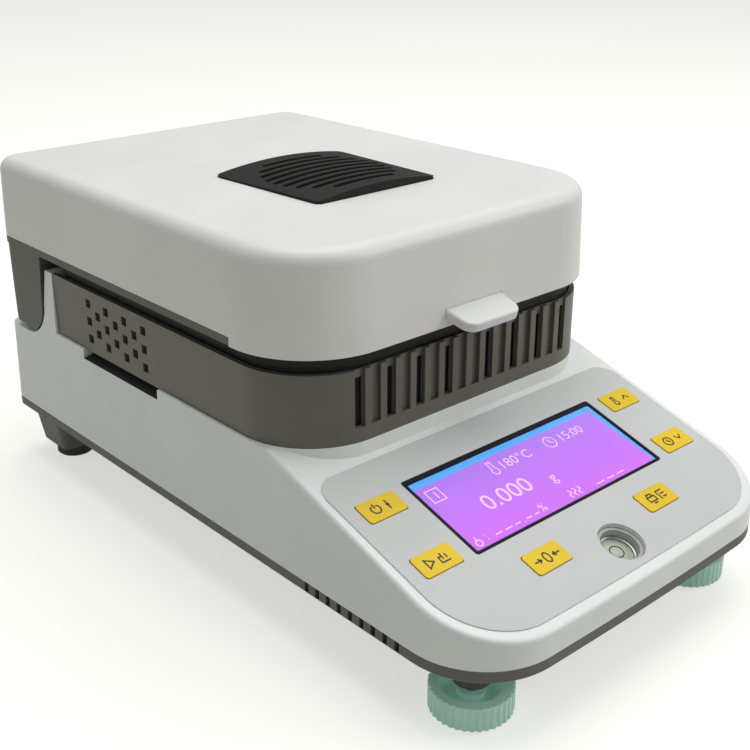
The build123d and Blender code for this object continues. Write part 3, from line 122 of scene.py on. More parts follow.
def roughen(tree, shader, height, depth_mm, strength=1.0):
    """Drive the shader's normal with a height pattern of a real depth."""
    bump = add_node(tree, "ShaderNodeBump", {
        "Height": height, "Distance": depth_mm * MM, "Strength": strength})
    tree.links.new(bump.outputs["Normal"], shader.inputs["Normal"])


def moulded_abs(name, colour, shade, roughness, grain_mm=0.7, depth_mm=0.02, specular=0.5):
    """Injection-moulded ABS: a fine spark-eroded grain and a faint drift of tone."""
    material, tree, shader = start_material(
        name, IOR=1.53, Roughness=roughness, Specular_IOR_Level=specular)
    place = object_place(tree)
    drift = add_node(tree, "ShaderNodeTexNoise", {
        "Vector": place, "Scale": 14.0, "Detail": 3.0, "Roughness": 0.6})
    tone = add_node(tree, "ShaderNodeMapRange", {
        "Value": drift.outputs["Fac"], "From Min": 0.35, "From Max": 0.65, "To Min": 0.0, "To Max": 1.0})
    colours = add_node(tree, "ShaderNodeMix", {
        "Factor": tone.outputs["Result"], "A": linear(colour), "B": linear(shade)}, data_type="RGBA")
    tree.links.new(live(colours.outputs, "Result"), shader.inputs["Base Color"])
    grain = add_node(tree, "ShaderNodeTexNoise", {
        "Vector": place, "Scale": 1.0 / (grain_mm * MM), "Detail": 2.0, "Roughness": 0.55})
    gloss = add_node(tree, "ShaderNodeMapRange", {
        "Value": grain.outputs["Fac"], "From Min": 0.3, "From Max": 0.7,
        "To Min": roughness - 0.05, "To Max": roughness + 0.07})
    tree.links.new(gloss.outputs["Result"], shader.inputs["Roughness"])
    roughen(tree, shader, grain.outputs["Fac"], depth_mm)
    return material


def brushed_metal(name, colour, roughness, stretch, line_mm=0.25):
    """Sheet metal brushed one way: long fine scratches that stretch the highlights."""
    material, tree, shader = start_material(name, Metallic=1.0, Roughness=roughness)
    lines = add_node(tree, "ShaderNodeTexNoise", {
        "Vector": object_place(tree, scale=stretch), "Scale": 1.0 / (line_mm * MM), "Detail": 3.0})
    tone = add_node(tree, "ShaderNodeMapRange", {
        "Value": lines.outputs["Fac"], "To Min": 0.86, "To Max": 1.08})
    colours = add_node(tree, "ShaderNodeMix", {
        "Factor": 1.0, "A": linear(colour), "B": tone.outputs["Result"]},
        data_type="RGBA", blend_type="MULTIPLY")
    tree.links.new(live(colours.outputs, "Result"), shader.inputs["Base Color"])
    gloss = add_node(tree, "ShaderNodeMapRange", {
        "Value": lines.outputs["Fac"], "To Min": roughness - 0.08, "To Max": roughness + 0.12})
    tree.links.new(gloss.outputs["Result"], shader.inputs["Roughness"])
    roughen(tree, shader, lines.outputs["Fac"], 0.01)
    return material


def spun_aluminium(name, colour, roughness, ring_mm):
    """Spun or pressed aluminium: fine rings left by the tool round the heater's axis."""
    material, tree, shader = start_material(name, Metallic=1.0, Roughness=roughness)
    place = object_place(tree, centre=HEATER_AXIS)
    rings = add_node(tree, "ShaderNodeTexWave", {
        "Vector": place, "Scale": 0.314 / (ring_mm * MM), "Distortion": 0.6, "Detail": 2.0},
        wave_type="RINGS", rings_direction="Z")
    smear = add_node(tree, "ShaderNodeTexNoise", {"Vector": place, "Scale": 60.0, "Detail": 4.0})
    gloss = add_node(tree, "ShaderNodeMapRange", {
        "Value": smear.outputs["Fac"], "To Min": roughness - 0.06, "To Max": roughness + 0.12})
    tree.links.new(gloss.outputs["Result"], shader.inputs["Roughness"])
    tone = add_node(tree, "ShaderNodeMix", {
        "Factor": rings.outputs["Fac"], "A": linear(colour), "B": linear("#C9CACB")}, data_type="RGBA")
    tree.links.new(live(tone.outputs, "Result"), shader.inputs["Base Color"])
    roughen(tree, shader, rings.outputs["Fac"], 0.02, 0.5)
    return material


def clear_glass(name, colour, roughness=0.02, ior=1.5, transmission=1.0):
    """Clear glass or acrylic with the faint smear that handling leaves."""
    material, tree, shader = start_material(name, IOR=ior, Transmission_Weight=transmission)
    shader.inputs["Base Color"].default_value = linear(colour)
    smear = add_node(tree, "ShaderNodeTexNoise", {
        "Vector": object_place(tree), "Scale": 45.0, "Detail": 5.0, "Roughness": 0.7})
    gloss = add_node(tree, "ShaderNodeMapRange", {
        "Value": smear.outputs["Fac"], "From Min": 0.45, "From Max": 0.75,
        "To Min": roughness, "To Max": roughness + 0.06})
    tree.links.new(gloss.outputs["Result"], shader.inputs["Roughness"])
    return material


def backlit_field():
    """A backlit liquid crystal: violet light, warmer at the foot, with a fine dot raster."""
    material, tree, shader = start_material(
        "lcd_backlit_violet", Roughness=0.6, Specular_IOR_Level=0.1, Emission_Strength=0.18)
    place = add_node(tree, "ShaderNodeTexCoord").outputs["Object"]
    up_slope = add_node(tree, "ShaderNodeVectorMath", {0: place, 1: panel_up}, operation="DOT_PRODUCT")
    foot = on_panel(0, -5.5, 0).dot(panel_up)
    rise = add_node(tree, "ShaderNodeMapRange", {
        "Value": up_slope.outputs["Value"], "From Min": foot, "From Max": foot + 42 * MM})
    field = add_node(tree, "ShaderNodeMix", {
        "Factor": rise.outputs["Result"], "A": linear("#DC74FB"), "B": linear("#C184FC")}, data_type="RGBA")
    # the raster's pitch is 0.6 mm, coarser than the real one so that it shows
    columns = add_node(tree, "ShaderNodeTexWave", {"Vector": place, "Scale": 0.314 / (0.6 * MM)},
                       bands_direction="X")
    dots = add_node(tree, "ShaderNodeMapRange", {
        "Value": columns.outputs["Fac"], "To Min": 0.78, "To Max": 0.86})
    raster = add_node(tree, "ShaderNodeMix", {
        "Factor": 1.0, "A": live(field.outputs, "Result"), "B": dots.outputs["Result"]},
        data_type="RGBA", blend_type="MULTIPLY")
    tree.links.new(live(raster.outputs, "Result"), shader.inputs["Base Color"])
    tree.links.new(live(raster.outputs, "Result"), shader.inputs["Emission Color"])
    return material


def printed_ink(name, colour, roughness=0.45, glow=0.0, specular=0.5):
    """Screen-printed ink: an even film with slightly uneven density. The same finish also paints the dark
    shade in screw drives and contact holes.
    """
    material, tree, shader = start_material(
        name, Roughness=roughness, Emission_Strength=glow, Specular_IOR_Level=specular)
    density = add_node(tree, "ShaderNodeTexNoise", {
        "Vector": object_place(tree), "Scale": 700.0, "Detail": 2.0})
    tone = add_node(tree, "ShaderNodeMapRange", {
        "Value": density.outputs["Fac"], "To Min": 0.9, "To Max": 1.05})
    colours = add_node(tree, "ShaderNodeMix", {
        "Factor": 1.0, "A": linear(colour), "B": tone.outputs["Result"]},
        data_type="RGBA", blend_type="MULTIPLY")
    tree.links.new(live(colours.outputs, "Result"), shader.inputs["Base Color"])
    if glow:
        tree.links.new(live(colours.outputs, "Result"), shader.inputs["Emission Color"])
    return material


def circuit_laminate():
    """Glass-epoxy board: green solder mask over tracks that show as paler lines."""
    material, tree, shader = start_material("fr4_green_mask", Roughness=0.3, Coat_Weight=0.4)
    tracks = add_node(tree, "ShaderNodeTexBrick", {
        "Vector": object_place(tree), "Color1": linear("#14502B"), "Color2": linear("#185A31"),
        "Mortar": linear("#2F7A48"), "Scale": 120.0, "Mortar Size": 0.03})
    tree.links.new(tracks.outputs["Color"], shader.inputs["Base Color"])
    roughen(tree, shader, tracks.outputs["Fac"], 0.03)
    return material


def translucent_knob():
    """Tinted translucent acrylic for the levelling wheels, with a faint painted glow in its own colour that
    stands in for light gathering in its ribs.
    """
    material, tree, shader = start_material(
        "teal_acrylic_painted_glow", IOR=1.49, Transmission_Weight=0.22, Subsurface_Weight=0.35,
        Subsurface_Scale=0.005, Emission_Strength=0.06)
    cloud = add_node(tree, "ShaderNodeTexNoise", {
        "Vector": object_place(tree), "Scale": 90.0, "Detail": 3.0})
    colours = add_node(tree, "ShaderNodeMix", {
        "Factor": cloud.outputs["Fac"], "A": linear("#B4E3D5"), "B": linear("#D0F2E8")}, data_type="RGBA")
    tree.links.new(live(colours.outputs, "Result"), shader.inputs["Base Color"])
    # painted glow: the teal colour also feeds a faint emission
    tree.links.new(live(colours.outputs, "Result"), shader.inputs["Emission Color"])
    gloss = add_node(tree, "ShaderNodeMapRange", {
        "Value": cloud.outputs["Fac"], "To Min": 0.22, "To Max": 0.42})
    tree.links.new(gloss.outputs["Result"], shader.inputs["Roughness"])
    return material


white_abs = moulded_abs("abs_off_white_fine_grain", "#DFE0DD", "#D9DAD7", 0.46)
# painted light: a cooler white for the base housing, painted lighter than the lid's white to stand in for
# the light on the base's sides
base_white_painted_light = moulded_abs("abs_cool_white_painted_light", "#E4E8E6", "#DFE3E1", 0.46)
panel_film = moulded_abs("polyester_film_pale_grey", "#C7C9C8", "#C2C4C3", 0.68, 0.5, 0.012, 0.3)
warm_grey_abs = moulded_abs("abs_warm_grey_satin", "#5D5B50", "#56544A", 0.5)
# painted shade: the lid liner is the ring's warm grey plastic, painted darker for the shade it sits in
liner_grey_painted_shade = moulded_abs("abs_warm_grey_painted_shade", "#4D4C43", "#48473E", 0.55)
well_grey_abs = moulded_abs("abs_grey_green_well", "#B4BBB3", "#ACB3AB", 0.5)
tray_abs = moulded_abs("abs_dark_grey_grain", "#5B5A58", "#525150", 0.58, 0.9, 0.03)
black_abs = moulded_abs("abs_black_satin", "#161615", "#121211", 0.6, specular=0.25)
yellow_keys = moulded_abs("silicone_key_yellow", "#E8C60E", "#E0BD0C", 0.48, 0.5, 0.012)
foot_rubber = moulded_abs("moulded_rubber_black", "#2A2A2B", "#232324", 0.75, 0.8, 0.04)
steatite = moulded_abs("steatite_ceramic_cream", "#E4DECF", "#D9D2C1", 0.65, 0.4, 0.03)
brushed_steel = brushed_metal("stainless_brushed", "#B9BABB", 0.34, (0.04, 1, 1))
turned_steel = brushed_metal("steel_turned", "#A9AAAC", 0.3, (1, 1, 0.1))
machined_aluminium = brushed_metal("aluminium_machined", "#C4C6C8", 0.36, (1, 0.05, 1))
brass_insert = brushed_metal("brass_turned", "#C9A55A", 0.32, (1, 1, 0.1))
core_varnish = brushed_metal("laminated_core_varnished", "#4A4B50", 0.5, (1, 1, 0.02), 0.5)
pan_aluminium = spun_aluminium("aluminium_pressed_pan", "#D4D5D6", 0.3, 1.2)
reflector_aluminium = spun_aluminium("aluminium_spun_bright", "#E2E3E4", 0.16, 0.9)
# the window has a coating against glare, so it reflects less than bare acrylic
window_acrylic = clear_glass("acrylic_coated_window", "#F4F8F8", 0.02, 1.2)
heater_glass = clear_glass("borosilicate_guard_glass", "#EDF4F0", 0.03, 1.47)
quartz_tube = clear_glass("quartz_tube_clear", "#F6F4EE", 0.02, 1.46)
level_fluid = clear_glass("level_fluid_green_tint", "#E3EADB", 0.02, 1.4, 0.45)
lcd_field = backlit_field()
lcd_band = printed_ink("lcd_sky_blue_edge", "#5FAEFD", 0.4, 0.15, 0.1)
lcd_segments = printed_ink("lcd_pale_pink_segments", "#F6C6FB", 0.4, 0.15, 0.1)
mask_ink = printed_ink("window_mask_navy_black", "#05081C", 0.5, specular=0.2)
# painted shade: a dark sheet for the shade in the air scoops under the ring
scoop_shade_sheet = moulded_abs("painted_scoop_shade_charcoal", "#242622", "#1B1D1A", 0.9, 1.1, 0.12)
key_ink = printed_ink("key_print_dark", "#33301C", 0.5)
ring_ink = printed_ink("level_ring_black", "#141414", 0.4)
# painted shade: the dark inside screw drives and contact holes
painted_recess_shade = printed_ink("recess_shadow_dark", "#161618", 0.6)
tungsten = brushed_metal("tungsten_coil", "#8C8A86", 0.45, (1, 1, 1), 0.3)
board_laminate = circuit_laminate()
wheel_acrylic = translucent_knob()

finishes = {
    "base_housing": base_white_painted_light, "lid_cover": white_abs, "lid_handle": white_abs,
    "chamber_ring": warm_grey_abs, "lid_liner": liner_grey_painted_shade,
    "base_tray": tray_abs, "cell_mount": tray_abs,
    "inner_rim": black_abs, "lid_grille": black_abs, "power_inlet": black_abs,
    "chamber_floor": brushed_steel, "draft_shield": brushed_steel, "pan_support": turned_steel,
    "hinge_brackets": turned_steel, "hinge_pins": turned_steel,
    "levelling_stud_left": turned_steel, "levelling_stud_right": turned_steel,
    "inlet_pins": turned_steel, "tray_screws": turned_steel, "lid_screws": turned_steel,
    "reflector_screws": turned_steel, "temperature_probe": turned_steel, "switch_domes": turned_steel,
    "serial_port": brushed_steel, "load_cell": machined_aluminium, "cell_adapter": machined_aluminium,
    "heat_sink": machined_aluminium, "level_cup": well_grey_abs,
    "sample_pan": pan_aluminium, "reflector": reflector_aluminium,
    "guard_glass": heater_glass, "display_window": window_acrylic, "heater_lamp": quartz_tube,
    "level_vial": level_fluid, "lamp_sockets": steatite, "main_board": board_laminate,
    "key_board": board_laminate, "lcd_module": mask_ink, "panel_overlay": panel_film,
    "levelling_wheel_left": wheel_acrylic, "levelling_wheel_right": wheel_acrylic,
    "rear_foot_pads": foot_rubber, "foot_pad_left": foot_rubber, "foot_pad_right": foot_rubber,
    "thread_inserts": brass_insert, "transformer": core_varnish,
}
finishes.update({name: yellow_keys for name in KEY_CENTRES})

for node_name, finish in finishes.items():
    for material_slot in bpy.data.objects[node_name].material_slots:
        material_slot.material = finish


# Pieces

def add_piece(name, mesh, material, body):
    """Put a finished mesh in the scene at the origin and hand it to a body."""
    mesh.name = name
    piece = bpy.data.objects.new(name, mesh)
    bpy.context.scene.collection.objects.link(piece)
    mesh.materials.clear()
    mesh.materials.append(material)
    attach(piece, body)
    return piece


def closed_mesh(build):
    """Finish a bmesh with welded points and outward faces."""
    bmesh.ops.remove_doubles(build, verts=build.verts, dist=1e-7)
    bmesh.ops.recalc_face_normals(build, faces=build.faces)
    mesh = bpy.data.meshes.new("shape")
    build.to_mesh(mesh)
    build.free()
    return mesh


def rounded_rectangle(a, b, width, height, radius, steps=8):
    """Corner points of a rounded rectangle on the panel, counter-clockwise."""
    points = []
    for sx, sy, start in ((1, -1, -90), (1, 1, 0), (-1, 1, 90), (-1, -1, 180)):
        ca = a + sx * (width / 2 - radius)
        cb = b + sy * (height / 2 - radius)
        for k in range(steps + 1):
            angle = math.radians(start + 90 * k / steps)
            points.append((ca + radius * math.cos(angle), cb + radius * math.sin(angle)))
    return points


def panel_slab(outline, low, high):
    """A flat plate on the panel between two heights."""
    build = bmesh.new()
    foot = [build.verts.new(on_panel(a, b, low)) for a, b in outline]
    head = [build.verts.new(on_panel(a, b, high)) for a, b in outline]
    build.faces.new(head)
    build.faces.new(list(reversed(foot)))
    for k in range(len(outline)):
        n = (k + 1) % len(outline)
        build.faces.new((foot[k], foot[n], head[n], head[k]))
    return closed_mesh(build)


def panel_frame(outer, inner, low, high):
    """A flat frame on the panel, between two outlines with the same number of points."""
    build = bmesh.new()
    rings = [[build.verts.new(on_panel(a, b, h)) for a, b in loop]
             for loop, h in ((outer, low), (outer, high), (inner, high), (inner, low))]
    for one, two in zip(rings, rings[1:] + rings[:1]):
        for k in range(len(outer)):
            n = (k + 1) % len(outer)
            build.faces.new((one[k], one[n], two[n], two[k]))
    return closed_mesh(build)


def panel_strokes(paths, width, low, high):
    """Printed lines: each path becomes a flat ribbon with mitred corners."""
    build = bmesh.new()
    for path in paths:
        closed = path[0] == path[-1]
        points = [Vector(p) for p in (path[:-1] if closed else path)]
        sides = []
        for k, point in enumerate(points):
            before = points[k - 1] if (closed or k > 0) else point
            after = points[(k + 1) % len(points)] if (closed or k < len(points) - 1) else point
            run = (after - point).normalized() if after != point else (point - before).normalized()
            came = (point - before).normalized() if before != point else run
            along = (run + came).normalized()
            across = Vector((-along.y, along.x))
            spread = width / 2 / max(0.5, abs(across.dot(Vector((-run.y, run.x)))))
            sides.append((point + across * spread, point - across * spread))
        corners = [[build.verts.new(on_panel(p.x, p.y, h)) for p, h in (
            (left, low), (left, high), (right, high), (right, low))] for left, right in sides]
        pairs = list(zip(corners, corners[1:] + corners[:1]))
        for one, two in pairs if closed else pairs[:-1]:
            for k in range(4):
                n = (k + 1) % 4
                build.faces.new((one[k], one[n], two[n], two[k]))
        if not closed:
            build.faces.new(corners[0])
            build.faces.new(corners[-1])
    return closed_mesh(build)


def arc(a, b, radius, start, end, steps=20):
    """Points along an arc on the panel, angles in degrees."""
    angles = [math.radians(start + (end - start) * k / steps) for k in range(steps + 1)]
    return [(a + radius * math.cos(angle), b + radius * math.sin(angle)) for angle in angles]


def ring_path(a, b, radius, steps=28):
    """A full circle on the panel that ends on its first point."""
    points = arc(a, b, radius, 0, 360, steps)
    return points[:-1] + [points[0]]


def shifted(paths, a, b):
    """The same paths moved to another place on the panel."""
    return [[(x + a, y + b) for x, y in path] for path in paths]


def panel_text(words, a, b, height, low, thickness, squeeze=1.0):
    """Display characters as raised shapes, placed by their left foot."""
    curve = bpy.data.curves.new("characters", "FONT")
    curve.body = words
    curve.size = height / 0.7
    curve.extrude = thickness / 2
    curve.resolution_u = 3
    holder = bpy.data.objects.new("characters", curve)
    bpy.context.scene.collection.objects.link(holder)
    bpy.context.view_layer.update()
    mesh = bpy.data.meshes.new_from_object(holder.evaluated_get(bpy.context.evaluated_depsgraph_get()))
    bpy.data.objects.remove(holder)
    bpy.data.curves.remove(curve)
    for point in mesh.vertices:
        x, y, z = point.co
        point.co = on_panel(a + x * squeeze, b + y, low + thickness / 2 + z)
    mesh.update()
    return mesh


def joined(meshes):
    """Gather several meshes into one."""
    build = bmesh.new()
    for mesh in meshes:
        build.from_mesh(mesh)
        bpy.data.meshes.remove(mesh)
    mesh = bpy.data.meshes.new("shape")
    build.to_mesh(mesh)
    build.free()
    return mesh


def grown(name, fill, material, body, sizes):
    """Run a geometry tree with named sizes and keep its result as a plain piece."""
    tree = bpy.data.node_groups.new(name, "GeometryNodeTree")
    tree.interface.new_socket("Geometry", in_out="OUTPUT", socket_type="NodeSocketGeometry")
    for label, value in sizes.items():
        kind = "NodeSocketInt" if isinstance(value, int) else "NodeSocketFloat"
        tree.interface.new_socket(label, in_out="INPUT", socket_type=kind)
    start = add_node(tree, "NodeGroupInput")
    shape = fill(tree, start.outputs)
    real = add_node(tree, "GeometryNodeRealizeInstances", {"Geometry": shape})
    coated = add_node(tree, "GeometryNodeSetMaterial", {
        "Geometry": real.outputs["Geometry"], "Material": material})
    add_node(tree, "NodeGroupOutput", {"Geometry": coated.outputs["Geometry"]})
    holder = bpy.data.objects.new(name + "_holder", bpy.data.meshes.new("empty"))
    bpy.context.scene.collection.objects.link(holder)
    modifier = holder.modifiers.new("grow", "NODES")
    modifier.node_group = tree
    for item in tree.interface.items_tree:
        if item.in_out == "INPUT":
            modifier[item.identifier] = sizes[item.name]
    bpy.context.view_layer.update()
    mesh = bpy.data.meshes.new_from_object(holder.evaluated_get(bpy.context.evaluated_depsgraph_get()))
    holder.modifiers.clear()
    bpy.data.objects.remove(holder)
    return add_piece(name, mesh, material, body)


# Display: clear window over a dark mask, sky-blue edge, violet field and pale readings
window = add_piece("window_pane", panel_slab(rounded_rectangle(0, 17.1, 125.0, 47.9, 2.0), WINDOW_UNDERSIDE,
                                             WINDOW_TOP - 0.06), window_acrylic, "base")
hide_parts("display_window")
mask_outer = rounded_rectangle(0, 17.1, 124.9, 47.8, 1.9)
mask_inner = rounded_rectangle(0.1, 16.6, 121.7, 43.8, 0.9)
add_piece("display_mask", panel_frame(mask_outer, mask_inner, LCD_FACE - 0.3, WINDOW_UNDERSIDE - 0.02),
          mask_ink, "base")
add_piece("display_border", panel_frame(mask_outer, mask_inner, WINDOW_TOP - 0.05, WINDOW_TOP),
          mask_ink, "base")
add_piece("display_edge_light", panel_slab(rounded_rectangle(0.2, 17.0, 122.0, 45.0, 0.8), LCD_FACE - 0.2,
                                           LCD_FACE), lcd_band, "base")
field_outline = [(-60.8, -5.5), (59.4, -5.5), (57.6, 35.2), (-60.8, 34.6)]
add_piece("display_field", panel_slab(field_outline, LCD_FACE + 0.01, LCD_FACE + 0.08), lcd_field, "base")
READING = LCD_FACE + 0.08
readings = [
    panel_text("0.000", -38.5, 9.6, 8.6, READING, 0.06, 1.1),
    panel_text("g", 1.8, 8.4, 5.4, READING, 0.06, 1.1),
    panel_text("1", -54.2, 26.0, 4.4, READING, 0.06),
    panel_text("180°C", -13.6, 25.6, 5.2, READING, 0.06, 1.08),
    panel_text("15:00", 27.0, 25.8, 5.0, READING, 0.06, 1.08),
    panel_text("%", -17.5, -2.6, 4.2, READING, 0.06),
]
display_marks = [
    # program frame, drop, dashes for the moisture reading, heat waves, dashes for the time left
    [(-56.6, 24.6), (-49.6, 24.6), (-49.6, 31.8), (-56.6, 31.8), (-56.6, 24.6)],
    ring_path(-56.2, -1.9, 1.6), [(-56.2, -0.3), (-56.2, 1.7)],
    [(-51.2, -2.2), (-50.6, -2.2)], [(-51.2, 0.4), (-50.6, 0.4)],
    [(-46.4, -1.9), (-42.2, -1.9)], [(-40.4, -1.9), (-36.2, -1.9)], [(-34.4, -1.9), (-31.0, -1.9)],
    [(-29.2, -3.0), (-28.6, -3.0)], [(-27.0, -1.9), (-23.6, -1.9)], [(-21.8, -1.9), (-19.0, -1.9)],
    [(3.0, -3.4), (1.9, -1.7), (4.1, -0.4), (3.0, 1.3)],
    [(6.0, -3.4), (4.9, -1.7), (7.1, -0.4), (6.0, 1.3)],
    [(9.0, -3.4), (7.9, -1.7), (10.1, -0.4), (9.0, 1.3)],
    [(19.5, -2.6), (25.0, -2.6)], [(27.0, -2.6), (32.0, -2.6)], [(34.0, -2.6), (39.0, -2.6)],
    # thermometer and clock
    arc(-17.2, 26.4, 1.9, -235, 55), [(-18.3, 28.0), (-18.3, 32.4), (-16.1, 32.4), (-16.1, 28.0)],
    ring_path(21.4, 28.3, 3.4), [(21.4, 30.5), (21.4, 28.3), (23.1, 27.4)],
]
readings.append(panel_strokes(display_marks, 0.62, READING, READING + 0.06))
add_piece("display_readings", joined(readings), lcd_segments, "base")

# Key prints: generic line symbols with each key's own meaning
key_symbols = {
    "key_power": [arc(-3.2, 0, 2.3, 120, 420), [(-3.2, 0.6), (-3.2, 3.2)], [(3.2, -2.6), (3.2, 2.8)],
                  ring_path(3.2, 0, 0.5)],
    "key_test": [[(-5.6, -2.4), (-5.6, 2.4), (-1.8, 0), (-5.6, -2.4)],
                 [(1.0, -2.4), (1.0, 0.6), (2.8, 0.6)], [(1.0, -2.4), (5.6, -2.4)],
                 [(2.8, 2.4), (2.8, -1.0)], [(4.8, 1.4), (4.8, -1.0)]],
    "key_tare": [[(-7.4, 0), (-3.6, 0)], [(-5.0, 1.2), (-3.6, 0), (-5.0, -1.2)],
                 [(1.6 * math.cos(t), 2.6 * math.sin(t)) for t in
                  [k * math.pi / 10 for k in range(20)]] + [(1.6, 0.0)],
                 [(7.4, 0), (3.6, 0)], [(5.0, 1.2), (3.6, 0), (5.0, -1.2)]],
    "key_print": [[(-5.4, -1.4), (-5.4, 1.2), (-0.6, 1.2), (-0.6, -1.4), (-5.4, -1.4)],
                  [(-4.4, 1.2), (-4.4, 2.8), (-1.6, 2.8), (-1.6, 1.2)], [(-4.2, -2.6), (-1.8, -2.6)],
                  [(2.0, -2.6), (2.0, 2.4)], [(2.0, 2.4), (6.0, 2.4)], [(3.4, 0.4), (6.0, 0.4)],
                  [(3.4, -1.6), (6.0, -1.6)]],
    "key_time": [ring_path(-3.4, 0, 2.6), [(-3.4, 1.6), (-3.4, 0), (-2.0, -0.6)],
                 [(2.4, 1.2), (4.4, -1.2), (6.4, 1.2)]],
    "key_heat": [arc(-3.4, -1.6, 1.3, -235, 55), [(-4.1, -0.4), (-4.1, 2.8), (-2.7, 2.8), (-2.7, -0.4)],
                 [(2.4, -1.2), (4.4, 1.2), (6.4, -1.2)]],
}
for key_name, (key_a, key_b) in KEY_CENTRES.items():
    print_mesh = panel_strokes(shifted(key_symbols[key_name], key_a, key_b), 0.74, KEY_FACE + 0.01,
                               KEY_FACE + 0.06)
    add_piece(key_name + "_print", print_mesh, key_ink, key_name)


def panel_turned(profile, a, b, steps=48):
    """A shape turned round an axis that stands on the panel; the profile is a closed loop of (r, h)."""
    build = bmesh.new()
    rings = [[build.verts.new(on_panel(a + radius * math.cos(k * math.tau / steps),
                                       b + radius * math.sin(k * math.tau / steps), h))
              for k in range(steps)] for radius, h in profile]
    for one, two in zip(rings, rings[1:] + rings[:1]):
        for k in range(steps):
            n = (k + 1) % steps
            build.faces.new((one[k], one[n], two[n], two[k]))
    bmesh.ops.dissolve_degenerate(build, edges=build.edges, dist=1e-7)
    return closed_mesh(build)


# Bubble level: domed vial low in its well, with its bezel, reference circle and bubble
LEVEL_A, LEVEL_B = 0.0, -32.9
vial_profile = [
    (0.0, -8.5), (8.4, -8.5), (8.4, -6.9), (7.9, -6.4), (5.0, -6.05), (2.5, -5.92), (0.0, -5.88)]
vial = add_piece("level_glass", panel_turned(vial_profile, LEVEL_A, LEVEL_B), level_fluid, "base")
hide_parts("level_vial")
bezel_profile = [(7.5, -6.3), (8.7, -6.3), (8.7, -5.5), (8.3, -5.2), (7.7, -5.4)]
add_piece("level_bezel", panel_turned(bezel_profile, LEVEL_A, LEVEL_B), turned_steel, "base")
circle_profile = [(3.0, -5.88), (3.45, -5.9), (3.45, -5.82), (3.0, -5.8)]
add_piece("level_circle", panel_turned(circle_profile, LEVEL_A, LEVEL_B), ring_ink, "base")
bubble = bmesh.new()
flat_drop = Matrix.LocRotScale(on_panel(0.4, -32.6, -6.9), Matrix.Rotation(PANEL_TILT, 3, "X"),
                               Vector((2.3, 2.3, 0.7)) * MM)
bmesh.ops.create_uvsphere(bubble, u_segments=28, v_segments=14, radius=1.0, matrix=flat_drop)
add_piece("level_bubble", closed_mesh(bubble), quartz_tube, "base")


# Dark charcoal strips on the sloping floor of each air scoop, below the perforations of the ring: painted
# shade for the dark under the ring
SCOOP_REAR_Y = 99.2
SCOOP_FRONT_Y = 29.6


def scoop_strip(side):
    """One strip, flat near the wall and then following the floor as it rises inwards."""
    section = [
        (101.0, 83.12), (100.5, 83.12), (89.7, 85.72), (89.7, 85.9), (100.5, 83.35), (101.0, 83.35)]
    build = bmesh.new()
    rear, front = [[build.verts.new(Vector((side * x, y, z)) * MM) for x, z in section]
                   for y in (SCOOP_REAR_Y, SCOOP_FRONT_Y)]
    build.faces.new(rear)
    build.faces.new(front)
    for k in range(len(section)):
        n = (k + 1) % len(section)
        build.faces.new((rear[k], rear[n], front[n], front[k]))
    return closed_mesh(build)


for side, side_name in ((-1, "left"), (1, "right")):
    add_piece("scoop_painted_shade_" + side_name, scoop_strip(side), scoop_shade_sheet, "base")


# Pieces that repeat, grown by geometry trees

def coiled_filament(tree, size):
    """A fine tungsten coil along the lamp's ring, wound by each point's index."""
    ring = add_node(tree, "GeometryNodeCurveArc", {
        "Resolution": size["Turn points"], "Radius": size["Ring radius"],
        "Start Angle": size["Start angle"], "Sweep Angle": size["Sweep angle"]})
    place = add_node(tree, "GeometryNodeInputPosition")
    outward = add_node(tree, "ShaderNodeVectorMath", {0: place.outputs["Position"]}, operation="NORMALIZE")
    index = add_node(tree, "GeometryNodeInputIndex")
    angle = add_node(tree, "ShaderNodeMath", {
        0: index.outputs["Index"], 1: math.tau / POINTS_PER_TURN}, operation="MULTIPLY")
    cosine = add_node(tree, "ShaderNodeMath", {0: angle.outputs["Value"]}, operation="COSINE")
    sine = add_node(tree, "ShaderNodeMath", {0: angle.outputs["Value"]}, operation="SINE")
    across = add_node(tree, "ShaderNodeVectorMath", {
        0: outward.outputs["Vector"], "Scale": cosine.outputs["Value"]}, operation="SCALE")
    upward = add_node(tree, "ShaderNodeCombineXYZ", {"Z": sine.outputs["Value"]})
    both = add_node(tree, "ShaderNodeVectorMath", {
        0: across.outputs["Vector"], 1: upward.outputs["Vector"]}, operation="ADD")
    reach = add_node(tree, "ShaderNodeVectorMath", {
        0: both.outputs["Vector"], "Scale": size["Coil radius"]}, operation="SCALE")
    wound = add_node(tree, "GeometryNodeSetPosition", {
        "Geometry": ring.outputs["Curve"], "Offset": reach.outputs["Vector"]})
    wire = add_node(tree, "GeometryNodeCurvePrimitiveCircle", {
        "Resolution": 5, "Radius": size["Wire radius"]})
    coil = add_node(tree, "GeometryNodeCurveToMesh", {
        "Curve": wound.outputs["Geometry"], "Profile Curve": wire.outputs["Curve"], "Fill Caps": True})
    lifted = add_node(tree, "GeometryNodeTransform", {
        "Geometry": coil.outputs["Mesh"], "Translation": HEATER_AXIS + Vector((0, 0, LAMP_Z)) * MM})
    return lifted.outputs["Geometry"]


grown("lamp_filament", coiled_filament, tungsten, "lid", {
    "Turn points": 1400, "Ring radius": LAMP_RING_RADIUS * MM, "Start angle": math.pi / 2 + LAMP_GAP,
    "Sweep angle": math.tau - 2 * LAMP_GAP, "Coil radius": 1.3 * MM, "Wire radius": 0.16 * MM})


def scattered(places, shape):
    """A tree that puts one shape at each place."""
    def fill(tree, size):
        clusters = []
        for place in places:
            made = shape(tree, size)
            moved = add_node(tree, "GeometryNodeTransform", {
                "Geometry": made, "Translation": Vector(place) * MM})
            clusters.append(moved.outputs["Geometry"])
        gathered = add_node(tree, "GeometryNodeJoinGeometry")
        for cluster in clusters:
            tree.links.new(cluster, gathered.inputs["Geometry"])
        return gathered.outputs["Geometry"]
    return fill


